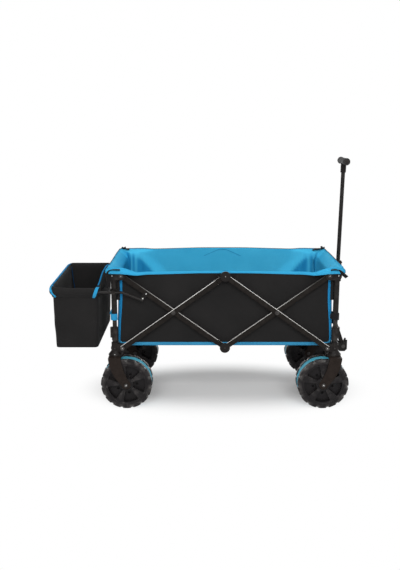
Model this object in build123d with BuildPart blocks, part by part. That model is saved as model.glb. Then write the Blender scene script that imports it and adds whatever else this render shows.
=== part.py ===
from build123d import *
import os
from math import atan2, cos, degrees, hypot, radians, sin

# Folding wagon with a pull handle and a rear bag. Millimetres, +X forward, +Y to the wagon's left, +Z up.
# The origin is on the ground, under the middle of the whole object.

# Overall layout, measured from the middle of the scissor sides
post_half_base = 430.0
post_y = 204.0
wheel_radius = 100.0
scissor_height = 287.0
axle_trail = 44.0
pivot_inset = 30.0

# Fits
running_gap = 0.05
loose_gap = 0.3
layer_gap = 1.0

# Wheels
wheel_width = 76.0
hub_radius = 16.0
hub_flare = 6.0
hub_width = 83.4
disc_width = 72.0
disc_radius = wheel_radius - 21.0
rim_radius = wheel_radius - 19.0
lug_count = 15
lug_depth = 9.0
lug_bevel = 2.0
notch_width = 11.0
band_width = 32.0
band_channel_width = 40.0
band_radius = wheel_radius - 2.0
band_seat_radius = wheel_radius - 10.0
band_rib_count = 120
band_rib_gap = 1.8
window_count = 5
window_turn_rear = -4.0
window_turn_front = -18.0
window_inner_radius = 27.0
window_outer_radius = wheel_radius - 26.0
window_angle = 48.0
window_depth = 16.0
window_corner = 4.0
pocket_distance = 40.0
pocket_radius = 5.5
pocket_depth = 24.0

# Forks and axles
fork_inside = 84.0
fork_arm = 5.0
fork_top_width = 49.0
fork_boss_radius = 17.0
fork_back_reach = 52.0
fork_back_rise = 0.46 * wheel_radius
fork_back_tuck = 1.0
fork_back_drop = 5.0
fork_lead_reach = 9.0
fork_lead_rise = 0.56 * wheel_radius
fork_lead_tuck = 5.0
fork_lead_lift = 11.0
crown_height = 6.0
crown_clearance = 4.0
axle_radius = 5.0
axle_head_radius = 7.5
axle_head_height = 4.0
kingpin_radius = 6.0
kingpin_head_radius = 11.0
kingpin_head_height = 2.5
kingpin_reach = 22.0
swivel_gap = 0.5

# Scissor bars, their pins and hubs
bar_height = 20.0
bar_thickness = 9.0
bar_edge_radius = 1.5
falling_inner = post_y + 3.0
lap_radius = 42.0
pin_radius = 4.0
pin_head_radius = 8.0
pin_head_height = 2.6
hub_pin_radius = 5.0
hub_cap_radius = 20.0
hub_cap_height = 4.5
hub_spacer_radius = 14.0
cross_tube_radius = 7.0

# Corner brackets
neck_bottom_z = 2 * wheel_radius + crown_clearance + crown_height
bottom_pivot_z = neck_bottom_z + 32.0
top_pivot_z = bottom_pivot_z + scissor_height
neck_flare_radius = 27.0
neck_lip_height = 4.0
neck_taper_height = 20.0
neck_radius = 15.0
bottom_bracket_top_z = bottom_pivot_z + 20.0
bracket_ear_radius = 16.0
bracket_slot_space = 2.0
bracket_top_fillet = 2.0
top_bracket_low_z = top_pivot_z - 21.0
top_bracket_high_z = top_pivot_z + 16.0
ear_inner = post_y - 5.0
cheek_thickness = 4.0
socket_wall = 4.0
socket_depth = 8.0
socket_face_y = post_y - 22.0
beam_radius = 11.0
beam_z = bottom_pivot_z - 4.0
rail_radius = 8.0
rail_z = top_pivot_z - 4.0

# Telescopic posts
lower_post_radius = 10.3
mid_post_radius = 8.5
outer_post_radius = 11.0
post_wall = 1.4
mid_post_wall = 1.5
telescope_gap = 0.3
lower_post_low_z = bottom_pivot_z - 6.0
lower_post_high_z = bottom_pivot_z + 76.0
mid_post_low_z = bottom_pivot_z + 14.0
mid_post_high_z = top_pivot_z - 3.0
outer_post_low_z = bottom_pivot_z + 113.0
outer_post_high_z = top_pivot_z + 11.0
guide_low_z = bottom_pivot_z + 28.0
guide_high_z = bottom_pivot_z + 81.0
guide_radius = 12.6
guide_tab_low_z = guide_low_z + 12.0
guide_tab_reach = 17.5
guide_tab_width = 14.0

# Fabric tub
tub_half_length = post_half_base - 17.0
panel_outer_y = post_y - 6.0
fabric = 3.0
rim_corner_z = top_pivot_z + 30.0
rim_middle_z = top_pivot_z + 21.0
end_flare_start_z = top_pivot_z - 3.0
end_flare_reach = 36.0
mat_thickness = 5.4
mat_panel_count = 4
mat_seam = 3.0
mat_margin = 12.0
tie_low_z = outer_post_low_z + 2.0
tie_height = 26.0
strap_thickness = 2.0
strap_width = 18.0
strap_y = socket_face_y - 14.0
strap_tail = 46.0

# Handle
handle_lean = 0.9
handle_foot_x = post_half_base + 36.0
handle_foot_z = bottom_pivot_z + 48.0
lower_tube_radius = 10.0
lower_tube_length = 243.0
upper_tube_radius = 8.0
tube_wall = 1.5
upper_tube_inset = 28.0
upper_tube_length = 420.0
collar_radius = 14.5
collar_low = 223.0
collar_high = 259.5
collar_top_fillet = 2.5
small_fillet = 1.0
button_radius = 3.5
button_height_along = 251.0
button_inner = 11.8
button_outer = 17.0
tee_low = 618.0
tee_radius = 11.0
tee_flutes = 12
tee_flute_radius = 1.0
grip_along = 663.0
grip_radius = 13.0
grip_ring_radius = 14.2
grip_ring_width = 5.0
grip_core_radius = 9.0
grip_length = 124.0
handle_pivot_x = post_half_base + 73.0
handle_pivot_z = beam_z - 51.0
neck_half_width = 12.6
neck_half_depth = 8.0
neck_edge_fillet = 2.0
neck_socket_radius = 13.0
neck_socket_length = 26.0
cradle_inner = 13.0
cradle_cheek = 4.0
cradle_floor_z = handle_pivot_z - 22.0
cradle_stop_along = 62.0
cradle_stop_radius = 4.0
cradle_stop_wall = 6.0
cradle_throat = 25.0
cradle_nose = 9.0
cradle_heel = 15.0
pivot_land_half = 6.0
pivot_land_rise = 16.0
horn_width = 6.0
horn_rise = 27.0
front_reach = handle_pivot_x + 16.0

# Rear bag and its frame
bag_rod_radius = 5.0
bag_rod_z = top_pivot_z - 63.0
bag_rod_y = post_y + 20.0
bag_bend_forward = 32.0
bag_tip_forward = 113.0
bag_tip_drop = 33.0
bag_rod_corner = 20.0
bag_corner_radius = 16.0
bag_bend_radius = 30.0
bag_eye_radius = 9.0
bag_front_top = post_half_base + 60.0
bag_front_bottom = bag_front_top + 7.0
bag_back_top = bag_front_top + 176.0
bag_back_bottom = bag_front_bottom + 160.0
bag_half_width_top = bag_rod_y - 7.5
bag_half_width_bottom = bag_rod_y - 18.0
bag_low_z = bag_rod_z - 224.0
bag_high_z = bag_rod_z + 13.0
bag_clamp_radius = 14.0
bag_clamp_height = 20.0
bag_loop_length = 24.0
bag_loop_tail = 34.0
bag_loop_inset = 2.0
hook_pin_share = 0.95
hook_pin_gap = 0.6
hook_plate = 2.4

# Derived layout
rear, front = -1, 1
bag_rod_back = bag_back_top + running_gap + loose_gap + bag_rod_radius
rear_reach = bag_rod_back + bag_rod_radius
mid_x = (rear_reach - front_reach) / 2
axle_half_base = post_half_base - axle_trail
pivot_half_span = post_half_base - pivot_inset
falling_outer = falling_inner + bar_thickness
rising_inner = falling_outer + layer_gap
rising_outer = rising_inner + bar_thickness
bar_length = hypot(pivot_half_span, scissor_height)
crossing_z = (top_pivot_z + bottom_pivot_z) / 2
panel_inner_y = panel_outer_y - fabric
floor_z = bottom_pivot_z + cross_tube_radius + loose_gap
cheek_outer = falling_outer + loose_gap + cheek_thickness
rail_length = 2 * (socket_face_y + socket_depth)

os.makedirs("parts", exist_ok=True)


def save(piece, name):
    piece.part.label = name
    export_step(piece.part, f"parts/{name}.step")


def at(end, distance):
    return mid_x + end * distance


# A round bar along Y, from y_from to y_to out from the middle plane on the right-hand side
def disc(x, z, radius, y_from, y_to, mode=Mode.ADD):
    with BuildSketch(Plane.XZ.offset(y_from)) as circle:
        with Locations((x, z)):
            Circle(radius)
    extrude(circle.sketch, amount=y_to - y_from, mode=mode)


# A round bar along Z at one right-hand post
def stud(x, y, radius, z_from, z_to, mode=Mode.ADD):
    with BuildSketch(Plane.XY.offset(z_from)) as circle:
        with Locations((x, y)):
            Circle(radius)
    extrude(circle.sketch, amount=z_to - z_from, mode=mode)


# A rectangular block given by its two corners
def block(low, high, mode=Mode.ADD):
    with BuildSketch(Plane.XY.offset(low[2])) as base:
        with Locations(((low[0] + high[0]) / 2, (low[1] + high[1]) / 2)):
            Rectangle(abs(high[0] - low[0]), abs(high[1] - low[1]))
    extrude(base.sketch, amount=high[2] - low[2], mode=mode)


# Wheels: a moulded body with lugs on both edges and fan-shaped windows, and a ribbed tread band between the lugs
def make_wheel(name, x, y, window_turn):
    axle = Axis((x, y, wheel_radius), (0, 1, 0))
    profile_plane = Plane(origin=(x, y, wheel_radius), x_dir=(0, 1, 0), z_dir=(1, 0, 0))
    face_plane = Plane(origin=(x, y, wheel_radius), x_dir=(1, 0, 0), z_dir=(0, -1, 0))
    with BuildSketch() as window:
        with BuildLine():
            outer = CenterArc((0, 0), window_outer_radius, -window_angle / 2, window_angle)
            inner = CenterArc((0, 0), window_inner_radius, -window_angle / 2, window_angle)
            Line(outer @ 0, inner @ 0)
            Line(outer @ 1, inner @ 1)
        make_face()
        fillet(window.vertices(), window_corner)

    with BuildPart() as wheel:
        with BuildSketch(profile_plane):
            with BuildLine():
                Polyline(
                    (0, axle_radius + running_gap),
                    (hub_width / 2, axle_radius + running_gap),
                    (hub_width / 2, hub_radius),
                    (disc_width / 2, hub_radius + hub_flare),
                    (disc_width / 2, disc_radius),
                    (wheel_width / 2, rim_radius),
                    (wheel_width / 2, wheel_radius - lug_bevel),
                    (wheel_width / 2 - lug_bevel, wheel_radius),
                    (band_channel_width / 2, wheel_radius),
                    (band_channel_width / 2, band_seat_radius),
                    (0, band_seat_radius),
                    close=True,
                )
            make_face()
            mirror(about=Plane.YZ)
        revolve(axis=axle)
        quarter_pitch = 90 / lug_count
        for start, turn in ((band_width / 2, -quarter_pitch), (-wheel_width / 2, quarter_pitch)):
            with BuildSketch(face_plane.offset(start)):
                with PolarLocations(wheel_radius, lug_count, start_angle=turn):
                    Rectangle(2 * lug_depth, notch_width)
            extrude(amount=(wheel_width - band_width) / 2, mode=Mode.SUBTRACT)
        for side in (1, -1):
            with BuildSketch(face_plane.offset(side * disc_width / 2)):
                with PolarLocations(0, window_count, start_angle=window_turn):
                    add(window.sketch)
            extrude(amount=-side * window_depth, mode=Mode.SUBTRACT)
            with BuildSketch(face_plane.offset(side * disc_width / 2)):
                with PolarLocations(pocket_distance, window_count, start_angle=window_turn):
                    Circle(pocket_radius)
            extrude(amount=-side * pocket_depth, mode=Mode.SUBTRACT)
    save(wheel, f"{name}_wheel")

    with BuildPart() as band:
        with BuildSketch(face_plane.offset(-band_width / 2)):
            Circle(band_radius)
            Circle(band_seat_radius + running_gap, mode=Mode.SUBTRACT)
            with PolarLocations(band_radius, band_rib_count):
                Rectangle(band_rib_gap, band_rib_gap, mode=Mode.SUBTRACT)
        extrude(amount=band_width)
    save(band, f"{name}_tread_band")


# Forks: two curved arms under a crown plate, one each side of the wheel
def make_fork(name, end, y, crown_top):
    post_x = at(end, post_half_base)
    half_top = fork_top_width / 2
    crown_low = crown_top - crown_height
    half_inside = fork_inside / 2

    # inward distance from the post, seen from the side
    def inward(distance):
        return post_x - end * distance

    with BuildPart() as fork:
        for arm_face in (-half_inside - fork_arm, half_inside):
            with BuildSketch(Plane.XZ.offset(arm_face - y)):
                with BuildLine():
                    back = ThreePointArc(
                        (inward(-half_top), crown_low),
                        (inward(axle_trail - fork_back_reach), wheel_radius + fork_back_rise),
                        (inward(axle_trail - fork_boss_radius + fork_back_tuck), wheel_radius - fork_back_drop),
                    )
                    lead = ThreePointArc(
                        (inward(half_top), crown_low),
                        (inward(axle_trail - fork_lead_reach), wheel_radius + fork_lead_rise),
                        (inward(axle_trail + fork_boss_radius - fork_lead_tuck), wheel_radius + fork_lead_lift),
                    )
                    Polyline(back @ 0, (inward(-half_top), crown_top), (inward(half_top), crown_top), lead @ 0)
                    Line(back @ 1, lead @ 1)
                make_face()
                with Locations((inward(axle_trail), wheel_radius)):
                    Circle(fork_boss_radius)
                    Circle(axle_radius + running_gap, mode=Mode.SUBTRACT)
            extrude(amount=fork_arm)
        block(
            (post_x - half_top, y - half_inside, crown_low),
            (post_x + half_top, y + half_inside, crown_top),
        )
        stud(post_x, y, kingpin_radius + running_gap, crown_low, crown_top, Mode.SUBTRACT)
    save(fork, name)


# A bolt through one wheel and its fork, with a head at each end
def axle_bolt(end, y):
    x = at(end, axle_half_base)
    half_fork = fork_inside / 2 + fork_arm
    disc(x, wheel_radius, axle_radius, -y - half_fork, -y + half_fork)
    disc(x, wheel_radius, axle_head_radius, -y - half_fork - axle_head_height, -y - half_fork)
    disc(x, wheel_radius, axle_head_radius, -y + half_fork, -y + half_fork + axle_head_height)


# The kingpin that holds a fork's crown to the bracket above it
def kingpin(end, y, crown_top):
    x = at(end, post_half_base)
    crown_low = crown_top - crown_height
    stud(x, y, kingpin_head_radius, crown_low - kingpin_head_height, crown_low)
    stud(x, y, kingpin_radius, crown_low, neck_bottom_z + kingpin_reach)


# Scissor bars: rounded flat tubes, half lapped where two of them share a hub
def make_bars(name, end, rising):
    corner = (at(end, pivot_half_span), bottom_pivot_z if rising else top_pivot_z)
    hub = (mid_x, top_pivot_z if rising else bottom_pivot_z)
    middle = (at(end, pivot_half_span / 2), crossing_z)
    slope = degrees(atan2(hub[1] - corner[1], hub[0] - corner[0]))
    inner = rising_inner if rising else falling_inner
    half_lap = (bar_thickness - running_gap) / 2
    lap_start = inner + bar_thickness - half_lap if end == rear else inner
    with BuildPart() as bars:
        with BuildSketch(Plane.XZ.offset(inner)):
            with Locations(middle):
                SlotCenterToCenter(bar_length, bar_height, rotation=slope)
        extrude(amount=bar_thickness)
        fillet(bars.faces().filter_by(Axis.Y).edges(), bar_edge_radius)
        disc(*hub, lap_radius, lap_start - running_gap, lap_start + half_lap + running_gap, Mode.SUBTRACT)
        for place, radius in ((corner, pin_radius), (middle, pin_radius), (hub, hub_pin_radius)):
            disc(*place, radius + running_gap, inner, inner + bar_thickness, Mode.SUBTRACT)
        mirror(about=Plane.XZ)
    save(bars, name)


# A pin along Y with a domed head at each end
def headed_pin(x, z, inner, outer):
    disc(x, z, pin_radius, inner, outer)
    disc(x, z, pin_head_radius, inner - pin_head_height, inner)
    disc(x, z, pin_head_radius, outer, outer + pin_head_height)


# Corner brackets at the foot of the posts, and the guides where the middle post enters the lower one
def make_bottom_fittings(name, end):
    post_x = at(end, post_half_base)
    pivot_x = at(end, pivot_half_span)
    post_axis = Axis((post_x, -post_y, 0), (0, 0, 1))
    ear_top = rising_inner - running_gap
    with BuildPart() as fittings:
        with BuildSketch(Plane(origin=(post_x, -post_y, 0), x_dir=(1, 0, 0), z_dir=(0, -1, 0))):
            Polygon(
                (0, neck_bottom_z),
                (neck_flare_radius, neck_bottom_z),
                (neck_flare_radius, neck_bottom_z + neck_lip_height),
                (neck_radius, neck_bottom_z + neck_taper_height),
                (neck_radius, bottom_bracket_top_z),
                (0, bottom_bracket_top_z),
                align=None,
            )
        revolve(axis=post_axis)
        with BuildSketch(Plane.XZ.offset(post_y)):
            with Locations(((post_x + pivot_x) / 2, bottom_pivot_z)):
                SlotCenterToCenter(abs(post_x - pivot_x), 2 * bracket_ear_radius)
        extrude(amount=ear_top - post_y)
        disc(post_x, beam_z, beam_radius + socket_wall, socket_face_y, post_y)
        disc(post_x, beam_z, beam_radius + running_gap, socket_face_y, socket_face_y + socket_depth, Mode.SUBTRACT)
        post_bore = lower_post_radius + running_gap
        stud(post_x, -post_y, post_bore, lower_post_low_z, bottom_bracket_top_z, Mode.SUBTRACT)
        kingpin_top = neck_bottom_z + kingpin_reach + loose_gap
        stud(post_x, -post_y, kingpin_radius + running_gap, neck_bottom_z, kingpin_top, Mode.SUBTRACT)
        disc(pivot_x, bottom_pivot_z, pin_radius + running_gap, post_y, ear_top, Mode.SUBTRACT)

        stud(post_x, -post_y, guide_radius, guide_low_z, guide_high_z)
        block(
            (post_x - guide_tab_reach if end == rear else post_x, -post_y - guide_tab_width / 2, guide_tab_low_z),
            (post_x if end == rear else post_x + guide_tab_reach, -post_y + guide_tab_width / 2, guide_high_z),
        )
        stud(post_x, -post_y, post_bore, guide_low_z, lower_post_high_z + running_gap, Mode.SUBTRACT)
        stud(post_x, -post_y, mid_post_radius + telescope_gap, guide_low_z, guide_high_z, Mode.SUBTRACT)
        mirror(about=Plane.XZ)
    save(fittings, name)


# Corner brackets at the top of the posts, forked round the falling bars' ends
def make_top_brackets(name, end):
    post_x = at(end, post_half_base)
    pivot_x = at(end, pivot_half_span)
    slot_back = pivot_x + end * (bar_height / 2 + bracket_slot_space)
    slot_open = pivot_x - end * 2 * bracket_ear_radius
    with BuildPart() as brackets:
        with BuildSketch(Plane.XZ.offset(ear_inner)):
            with Locations(((post_x + pivot_x) / 2, top_pivot_z)):
                SlotCenterToCenter(abs(post_x - pivot_x), 2 * bracket_ear_radius)
        extrude(amount=cheek_outer - ear_inner)
        stud(post_x, -post_y, neck_radius, top_bracket_low_z, top_bracket_high_z)
        disc(post_x, rail_z, rail_radius + socket_wall, socket_face_y, post_y)
        disc(post_x, rail_z, rail_radius + running_gap, socket_face_y, socket_face_y + socket_depth, Mode.SUBTRACT)
        post_bore = outer_post_radius + running_gap
        stud(post_x, -post_y, post_bore, top_bracket_low_z, outer_post_high_z + running_gap, Mode.SUBTRACT)
        block(
            (min(slot_back, slot_open), -falling_outer - loose_gap, top_bracket_low_z),
            (max(slot_back, slot_open), -falling_inner + loose_gap, top_bracket_high_z + bracket_ear_radius),
            Mode.SUBTRACT,
        )
        disc(pivot_x, top_pivot_z, pin_radius + running_gap, ear_inner, cheek_outer, Mode.SUBTRACT)
        fillet(brackets.faces().sort_by(Axis.Z)[-1].edges().filter_by(GeomType.CIRCLE), bracket_top_fillet)
        mirror(about=Plane.XZ)
    save(brackets, name)


# A pair of round posts, one on each side
def make_posts(name, end, radius, wall, z_from, z_to):
    with BuildPart() as posts:
        with BuildSketch(Plane.XY.offset(z_from)):
            with Locations((at(end, post_half_base), -post_y), (at(end, post_half_base), post_y)):
                Circle(radius)
                Circle(radius - wall, mode=Mode.SUBTRACT)
        extrude(amount=z_to - z_from)
    save(posts, name)


# A round tube across the wagon between two sockets
def make_crossbar(name, x, z, radius, wall, length):
    with BuildPart() as bar:
        with BuildSketch(Plane.XZ.offset(-length / 2)):
            with Locations((x, z)):
                Circle(radius)
                Circle(radius - wall, mode=Mode.SUBTRACT)
        extrude(amount=length)
    save(bar, name)


# Webbing that ties the tub to one end frame: a loop round each post and a strap round the rail
def make_tub_ties(name, end):
    post_x = at(end, post_half_base)
    loop_inner = outer_post_radius + loose_gap
    loop_outer = loop_inner + strap_thickness
    rail_inner = rail_radius + loose_gap
    rail_outer = rail_inner + strap_thickness
    tub_edge = at(end, tub_half_length + loose_gap)
    tie_high_z = tie_low_z + tie_height
    tail_x = post_x + end * (rail_inner + strap_thickness / 2)
    with BuildPart() as ties:
        stud(post_x, -post_y, loop_outer, tie_low_z, tie_high_z)
        block(
            (min(tub_edge, post_x), -panel_outer_y, tie_low_z),
            (max(tub_edge, post_x), -panel_outer_y + fabric, tie_high_z),
        )
        stud(post_x, -post_y, loop_inner, tie_low_z, tie_high_z, Mode.SUBTRACT)
        disc(post_x, rail_z, rail_outer, strap_y - strap_width / 2, strap_y + strap_width / 2)
        block(
            (tail_x - strap_thickness / 2, -strap_y - strap_width / 2, rail_z - strap_tail),
            (tail_x + strap_thickness / 2, -strap_y + strap_width / 2, rail_z),
        )
        disc(post_x, rail_z, rail_inner, strap_y - strap_width / 2, strap_y + strap_width / 2, Mode.SUBTRACT)
        mirror(about=Plane.XZ)
    save(ties, name)


# Fabric tub: two side panels with a sagging rim, two flared end panels, a floor and a padded mat
with BuildPart() as side_panels:
    with BuildSketch(Plane.XZ.offset(panel_inner_y)):
        with BuildLine():
            rim = ThreePointArc(
                (mid_x - tub_half_length, rim_corner_z),
                (mid_x, rim_middle_z),
                (mid_x + tub_half_length, rim_corner_z),
            )
            Polyline(
                rim @ 1,
                (mid_x + tub_half_length, floor_z),
                (mid_x - tub_half_length, floor_z),
                rim @ 0,
            )
        make_face()
    extrude(amount=fabric)
    mirror(about=Plane.XZ)
save(side_panels, "side_panels")

with BuildPart() as end_panels:
    for end in (rear, front):
        inside = at(end, tub_half_length - fabric)
        outside = at(end, tub_half_length)
        with BuildSketch(Plane.XZ.offset(-panel_inner_y)):
            with BuildLine():
                Polyline(
                    (inside, floor_z),
                    (outside, floor_z),
                    (outside, end_flare_start_z),
                    (inside, end_flare_start_z),
                    close=True,
                )
            make_face()
        extrude(amount=2 * panel_inner_y)
        with BuildSketch(Plane.XZ.offset(-socket_face_y + loose_gap)):
            with BuildLine():
                Polyline(
                    (inside, end_flare_start_z),
                    (outside, end_flare_start_z),
                    (at(end, tub_half_length + end_flare_reach), rim_corner_z - fabric),
                    (at(end, tub_half_length + end_flare_reach), rim_corner_z),
                    (at(end, tub_half_length + end_flare_reach - fabric), rim_corner_z),
                    close=True,
                )
            make_face()
        extrude(amount=2 * (socket_face_y - loose_gap))
save(end_panels, "end_panels")

with BuildPart() as tub_floor:
    block(
        (mid_x - tub_half_length + fabric, -panel_inner_y, floor_z),
        (mid_x + tub_half_length - fabric, panel_inner_y, floor_z + fabric),
    )
save(tub_floor, "tub_floor")

with BuildPart() as floor_mat:
    mat_length = 2 * (tub_half_length - fabric - mat_margin)
    mat_panel = (mat_length - (mat_panel_count - 1) * mat_seam) / mat_panel_count
    with BuildSketch(Plane.XY.offset(floor_z + fabric)):
        with Locations((mid_x, 0)):
            with GridLocations(mat_panel + mat_seam, 0, mat_panel_count, 1):
                RectangleRounded(mat_panel, 2 * (panel_inner_y - mat_margin), mat_margin)
    extrude(amount=mat_thickness)
    fillet(floor_mat.faces().filter_by(Axis.Z).group_by(Axis.Z)[-1].edges(), mat_thickness / 3)
save(floor_mat, "floor_mat")

# Hubs: the top pair is held by the tub, the bottom pair by a tube across under the floor
with BuildPart() as top_hub_caps:
    disc(mid_x, top_pivot_z, hub_spacer_radius, panel_outer_y, rising_inner - running_gap)
    disc(mid_x, top_pivot_z, hub_pin_radius, panel_outer_y, rising_outer + hub_cap_height)
    disc(mid_x, top_pivot_z, hub_cap_radius, rising_outer + running_gap, rising_outer + hub_cap_height)
    fillet(top_hub_caps.faces().sort_by(Axis.Y)[0].edges(), hub_cap_height / 3)
    mirror(about=Plane.XZ)
save(top_hub_caps, "top_hub_caps")

with BuildPart() as bottom_hub_caps:
    disc(mid_x, bottom_pivot_z, hub_pin_radius, panel_inner_y - socket_depth, falling_outer + hub_cap_height)
    disc(mid_x, bottom_pivot_z, hub_cap_radius, falling_outer + running_gap, falling_outer + hub_cap_height)
    fillet(bottom_hub_caps.faces().sort_by(Axis.Y)[0].edges(), hub_cap_height / 3)
    mirror(about=Plane.XZ)
save(bottom_hub_caps, "bottom_hub_caps")

cross_tube_wall = cross_tube_radius - hub_pin_radius - running_gap
cross_tube_length = 2 * (falling_inner - running_gap)
make_crossbar("bottom_cross_tube", mid_x, bottom_pivot_z, cross_tube_radius, cross_tube_wall, cross_tube_length)

# Scissor sides
for end, word in ((rear, "rear"), (front, "front")):
    make_bars(f"{word}_rising_bars", end, True)
    make_bars(f"{word}_falling_bars", end, False)
    with BuildPart() as rising_pins:
        headed_pin(at(end, pivot_half_span / 2), crossing_z, falling_inner - running_gap, rising_outer + running_gap)
        headed_pin(at(end, pivot_half_span), bottom_pivot_z, post_y - running_gap, rising_outer + running_gap)
        mirror(about=Plane.XZ)
    save(rising_pins, f"{word}_rising_pins")
    with BuildPart() as falling_pins:
        corner = (at(end, pivot_half_span), top_pivot_z)
        disc(*corner, pin_radius, ear_inner, cheek_outer + running_gap)
        disc(*corner, pin_head_radius, cheek_outer + running_gap, cheek_outer + pin_head_height)
        mirror(about=Plane.XZ)
    save(falling_pins, f"{word}_falling_pins")

# End frames
for end, word in ((rear, "rear"), (front, "front")):
    post_x = at(end, post_half_base)
    make_bottom_fittings(f"{word}_bottom_fittings", end)
    make_top_brackets(f"{word}_top_brackets", end)
    make_posts(f"{word}_lower_posts", end, lower_post_radius, post_wall, lower_post_low_z, lower_post_high_z)
    make_posts(f"{word}_mid_posts", end, mid_post_radius, mid_post_wall, mid_post_low_z, mid_post_high_z)
    outer_wall = outer_post_radius - mid_post_radius - telescope_gap
    make_posts(f"{word}_outer_posts", end, outer_post_radius, outer_wall, outer_post_low_z, outer_post_high_z)
    make_crossbar(f"{word}_axle_beam", post_x, beam_z, beam_radius, post_wall, rail_length)
    make_crossbar(f"{word}_top_rail", post_x, rail_z, rail_radius, post_wall, rail_length)
    make_tub_ties(f"{word}_tub_ties", end)

# Wheels, fixed rear forks and swivelling front forks
front_crown_top = neck_bottom_z - swivel_gap
for side, y in (("right", -post_y), ("left", post_y)):
    make_wheel(f"rear_{side}", at(rear, axle_half_base), y, window_turn_rear)
    make_wheel(f"front_{side}", at(front, axle_half_base), y, window_turn_front)
    make_fork(f"rear_{side}_fork", rear, y, neck_bottom_z)
    make_fork(f"front_{side}_fork", front, y, front_crown_top)
    with BuildPart() as caster_bolts:
        axle_bolt(front, y)
        kingpin(front, y, front_crown_top)
    save(caster_bolts, f"front_{side}_caster_bolts")

with BuildPart() as rear_axle_bolts:
    axle_bolt(rear, -post_y)
    kingpin(rear, -post_y, neck_bottom_z)
    mirror(about=Plane.XZ)
save(rear_axle_bolts, "rear_axle_bolts")

# Pull handle: a cradle on the front beam, a bent neck, two telescopic tubes and a cross grip
lean = radians(handle_lean)
handle_axis = Plane(
    origin=(at(front, handle_foot_x), 0, handle_foot_z),
    x_dir=(cos(lean), 0, -sin(lean)),
    z_dir=(sin(lean), 0, cos(lean)),
)
pivot_x = at(front, handle_pivot_x)
beam_x = at(front, post_half_base)
neck_run_x = at(front, handle_foot_x) - pivot_x
neck_run_z = handle_foot_z - handle_pivot_z
neck_length = hypot(neck_run_x, neck_run_z)
neck_slope = degrees(atan2(neck_run_z, neck_run_x))
along_x = neck_run_x / neck_length
along_z = neck_run_z / neck_length
stop_offset = neck_half_depth + cradle_stop_radius + loose_gap
stop_x = pivot_x + along_x * cradle_stop_along - along_z * stop_offset
stop_z = handle_pivot_z + along_z * cradle_stop_along + along_x * stop_offset

with BuildPart() as handle_cradle:
    for cheek_face in (-cradle_inner - cradle_cheek, cradle_inner):
        with BuildSketch(Plane.XZ.offset(cheek_face)):
            with BuildLine():
                horn_x = at(front, front_reach)
                top = Polyline(
                    (beam_x, beam_z + beam_radius + socket_wall),
                    (stop_x + cradle_stop_wall, stop_z + 2 * cradle_stop_radius),
                    (stop_x + cradle_stop_wall, stop_z - 2 * cradle_stop_radius),
                    (pivot_x - cradle_throat, handle_pivot_z + pivot_land_rise),
                    (pivot_x + pivot_land_half, handle_pivot_z + pivot_land_rise),
                    (horn_x - horn_width, handle_pivot_z + horn_rise),
                    (horn_x, handle_pivot_z + horn_rise),
                    (horn_x, cradle_floor_z + cradle_nose),
                    (horn_x - cradle_nose, cradle_floor_z),
                    (pivot_x - cradle_heel, cradle_floor_z),
                    (beam_x, beam_z - beam_radius - socket_wall),
                )
                ThreePointArc(top @ 1, (beam_x - beam_radius - socket_wall, beam_z), top @ 0)
            make_face()
            with Locations((beam_x, beam_z)):
                Circle(beam_radius + running_gap, mode=Mode.SUBTRACT)
            with Locations((pivot_x, handle_pivot_z)):
                Circle(pin_radius + running_gap, mode=Mode.SUBTRACT)
        extrude(amount=cradle_cheek)
    disc(stop_x, stop_z, cradle_stop_radius, -cradle_inner, cradle_inner)
    block(
        (pivot_x - cradle_heel, -cradle_inner, cradle_floor_z),
        (horn_x - cradle_nose, cradle_inner, cradle_floor_z + cradle_cheek),
    )
save(handle_cradle, "handle_cradle")

with BuildPart() as handle_pivot_pin:
    pin_end = cradle_inner + cradle_cheek + running_gap
    headed_pin(pivot_x, handle_pivot_z, -pin_end, pin_end)
save(handle_pivot_pin, "handle_pivot_pin")

with BuildPart() as handle_neck:
    with BuildSketch(Plane.XZ.offset(-neck_half_width)):
        with Locations(((pivot_x + at(front, handle_foot_x)) / 2, (handle_pivot_z + handle_foot_z) / 2)):
            SlotCenterToCenter(neck_length, 2 * neck_half_depth, rotation=neck_slope)
    extrude(amount=2 * neck_half_width)
    fillet(handle_neck.faces().filter_by(Axis.Y).edges(), neck_edge_fillet)
    with BuildSketch(handle_axis.offset(-neck_half_depth)):
        Circle(neck_socket_radius)
    extrude(amount=neck_half_depth + neck_socket_length)
    with BuildSketch(handle_axis):
        Circle(lower_tube_radius + running_gap)
    extrude(amount=neck_socket_length, mode=Mode.SUBTRACT)
    disc(pivot_x, handle_pivot_z, pin_radius + running_gap, -neck_half_width, neck_half_width, Mode.SUBTRACT)
save(handle_neck, "handle_neck")

with BuildPart() as handle_lower_tube:
    with BuildSketch(handle_axis):
        Circle(lower_tube_radius)
        Circle(lower_tube_radius - tube_wall, mode=Mode.SUBTRACT)
    extrude(amount=lower_tube_length)
save(handle_lower_tube, "handle_lower_tube")

with BuildPart() as handle_collar:
    with BuildSketch(handle_axis.offset(collar_low)):
        Circle(collar_radius)
    extrude(amount=collar_high - collar_low)
    fillet(handle_collar.faces().sort_by(Axis.Z)[-1].edges(), collar_top_fillet)
    fillet(handle_collar.faces().sort_by(Axis.Z)[0].edges(), small_fillet)
    with BuildSketch(handle_axis.offset(collar_low)):
        Circle(lower_tube_radius + running_gap)
    extrude(amount=lower_tube_length - collar_low + running_gap, mode=Mode.SUBTRACT)
    with BuildSketch(handle_axis.offset(collar_low)):
        Circle(upper_tube_radius + telescope_gap)
    extrude(amount=collar_high - collar_low, mode=Mode.SUBTRACT)
    button_seat = handle_axis.offset(button_height_along)
    button_plane = Plane(origin=button_seat.origin, x_dir=(0, 1, 0), z_dir=handle_axis.x_dir)
    with BuildSketch(button_plane):
        Circle(button_radius + running_gap)
    extrude(amount=button_outer, mode=Mode.SUBTRACT)
save(handle_collar, "handle_collar")

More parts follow.
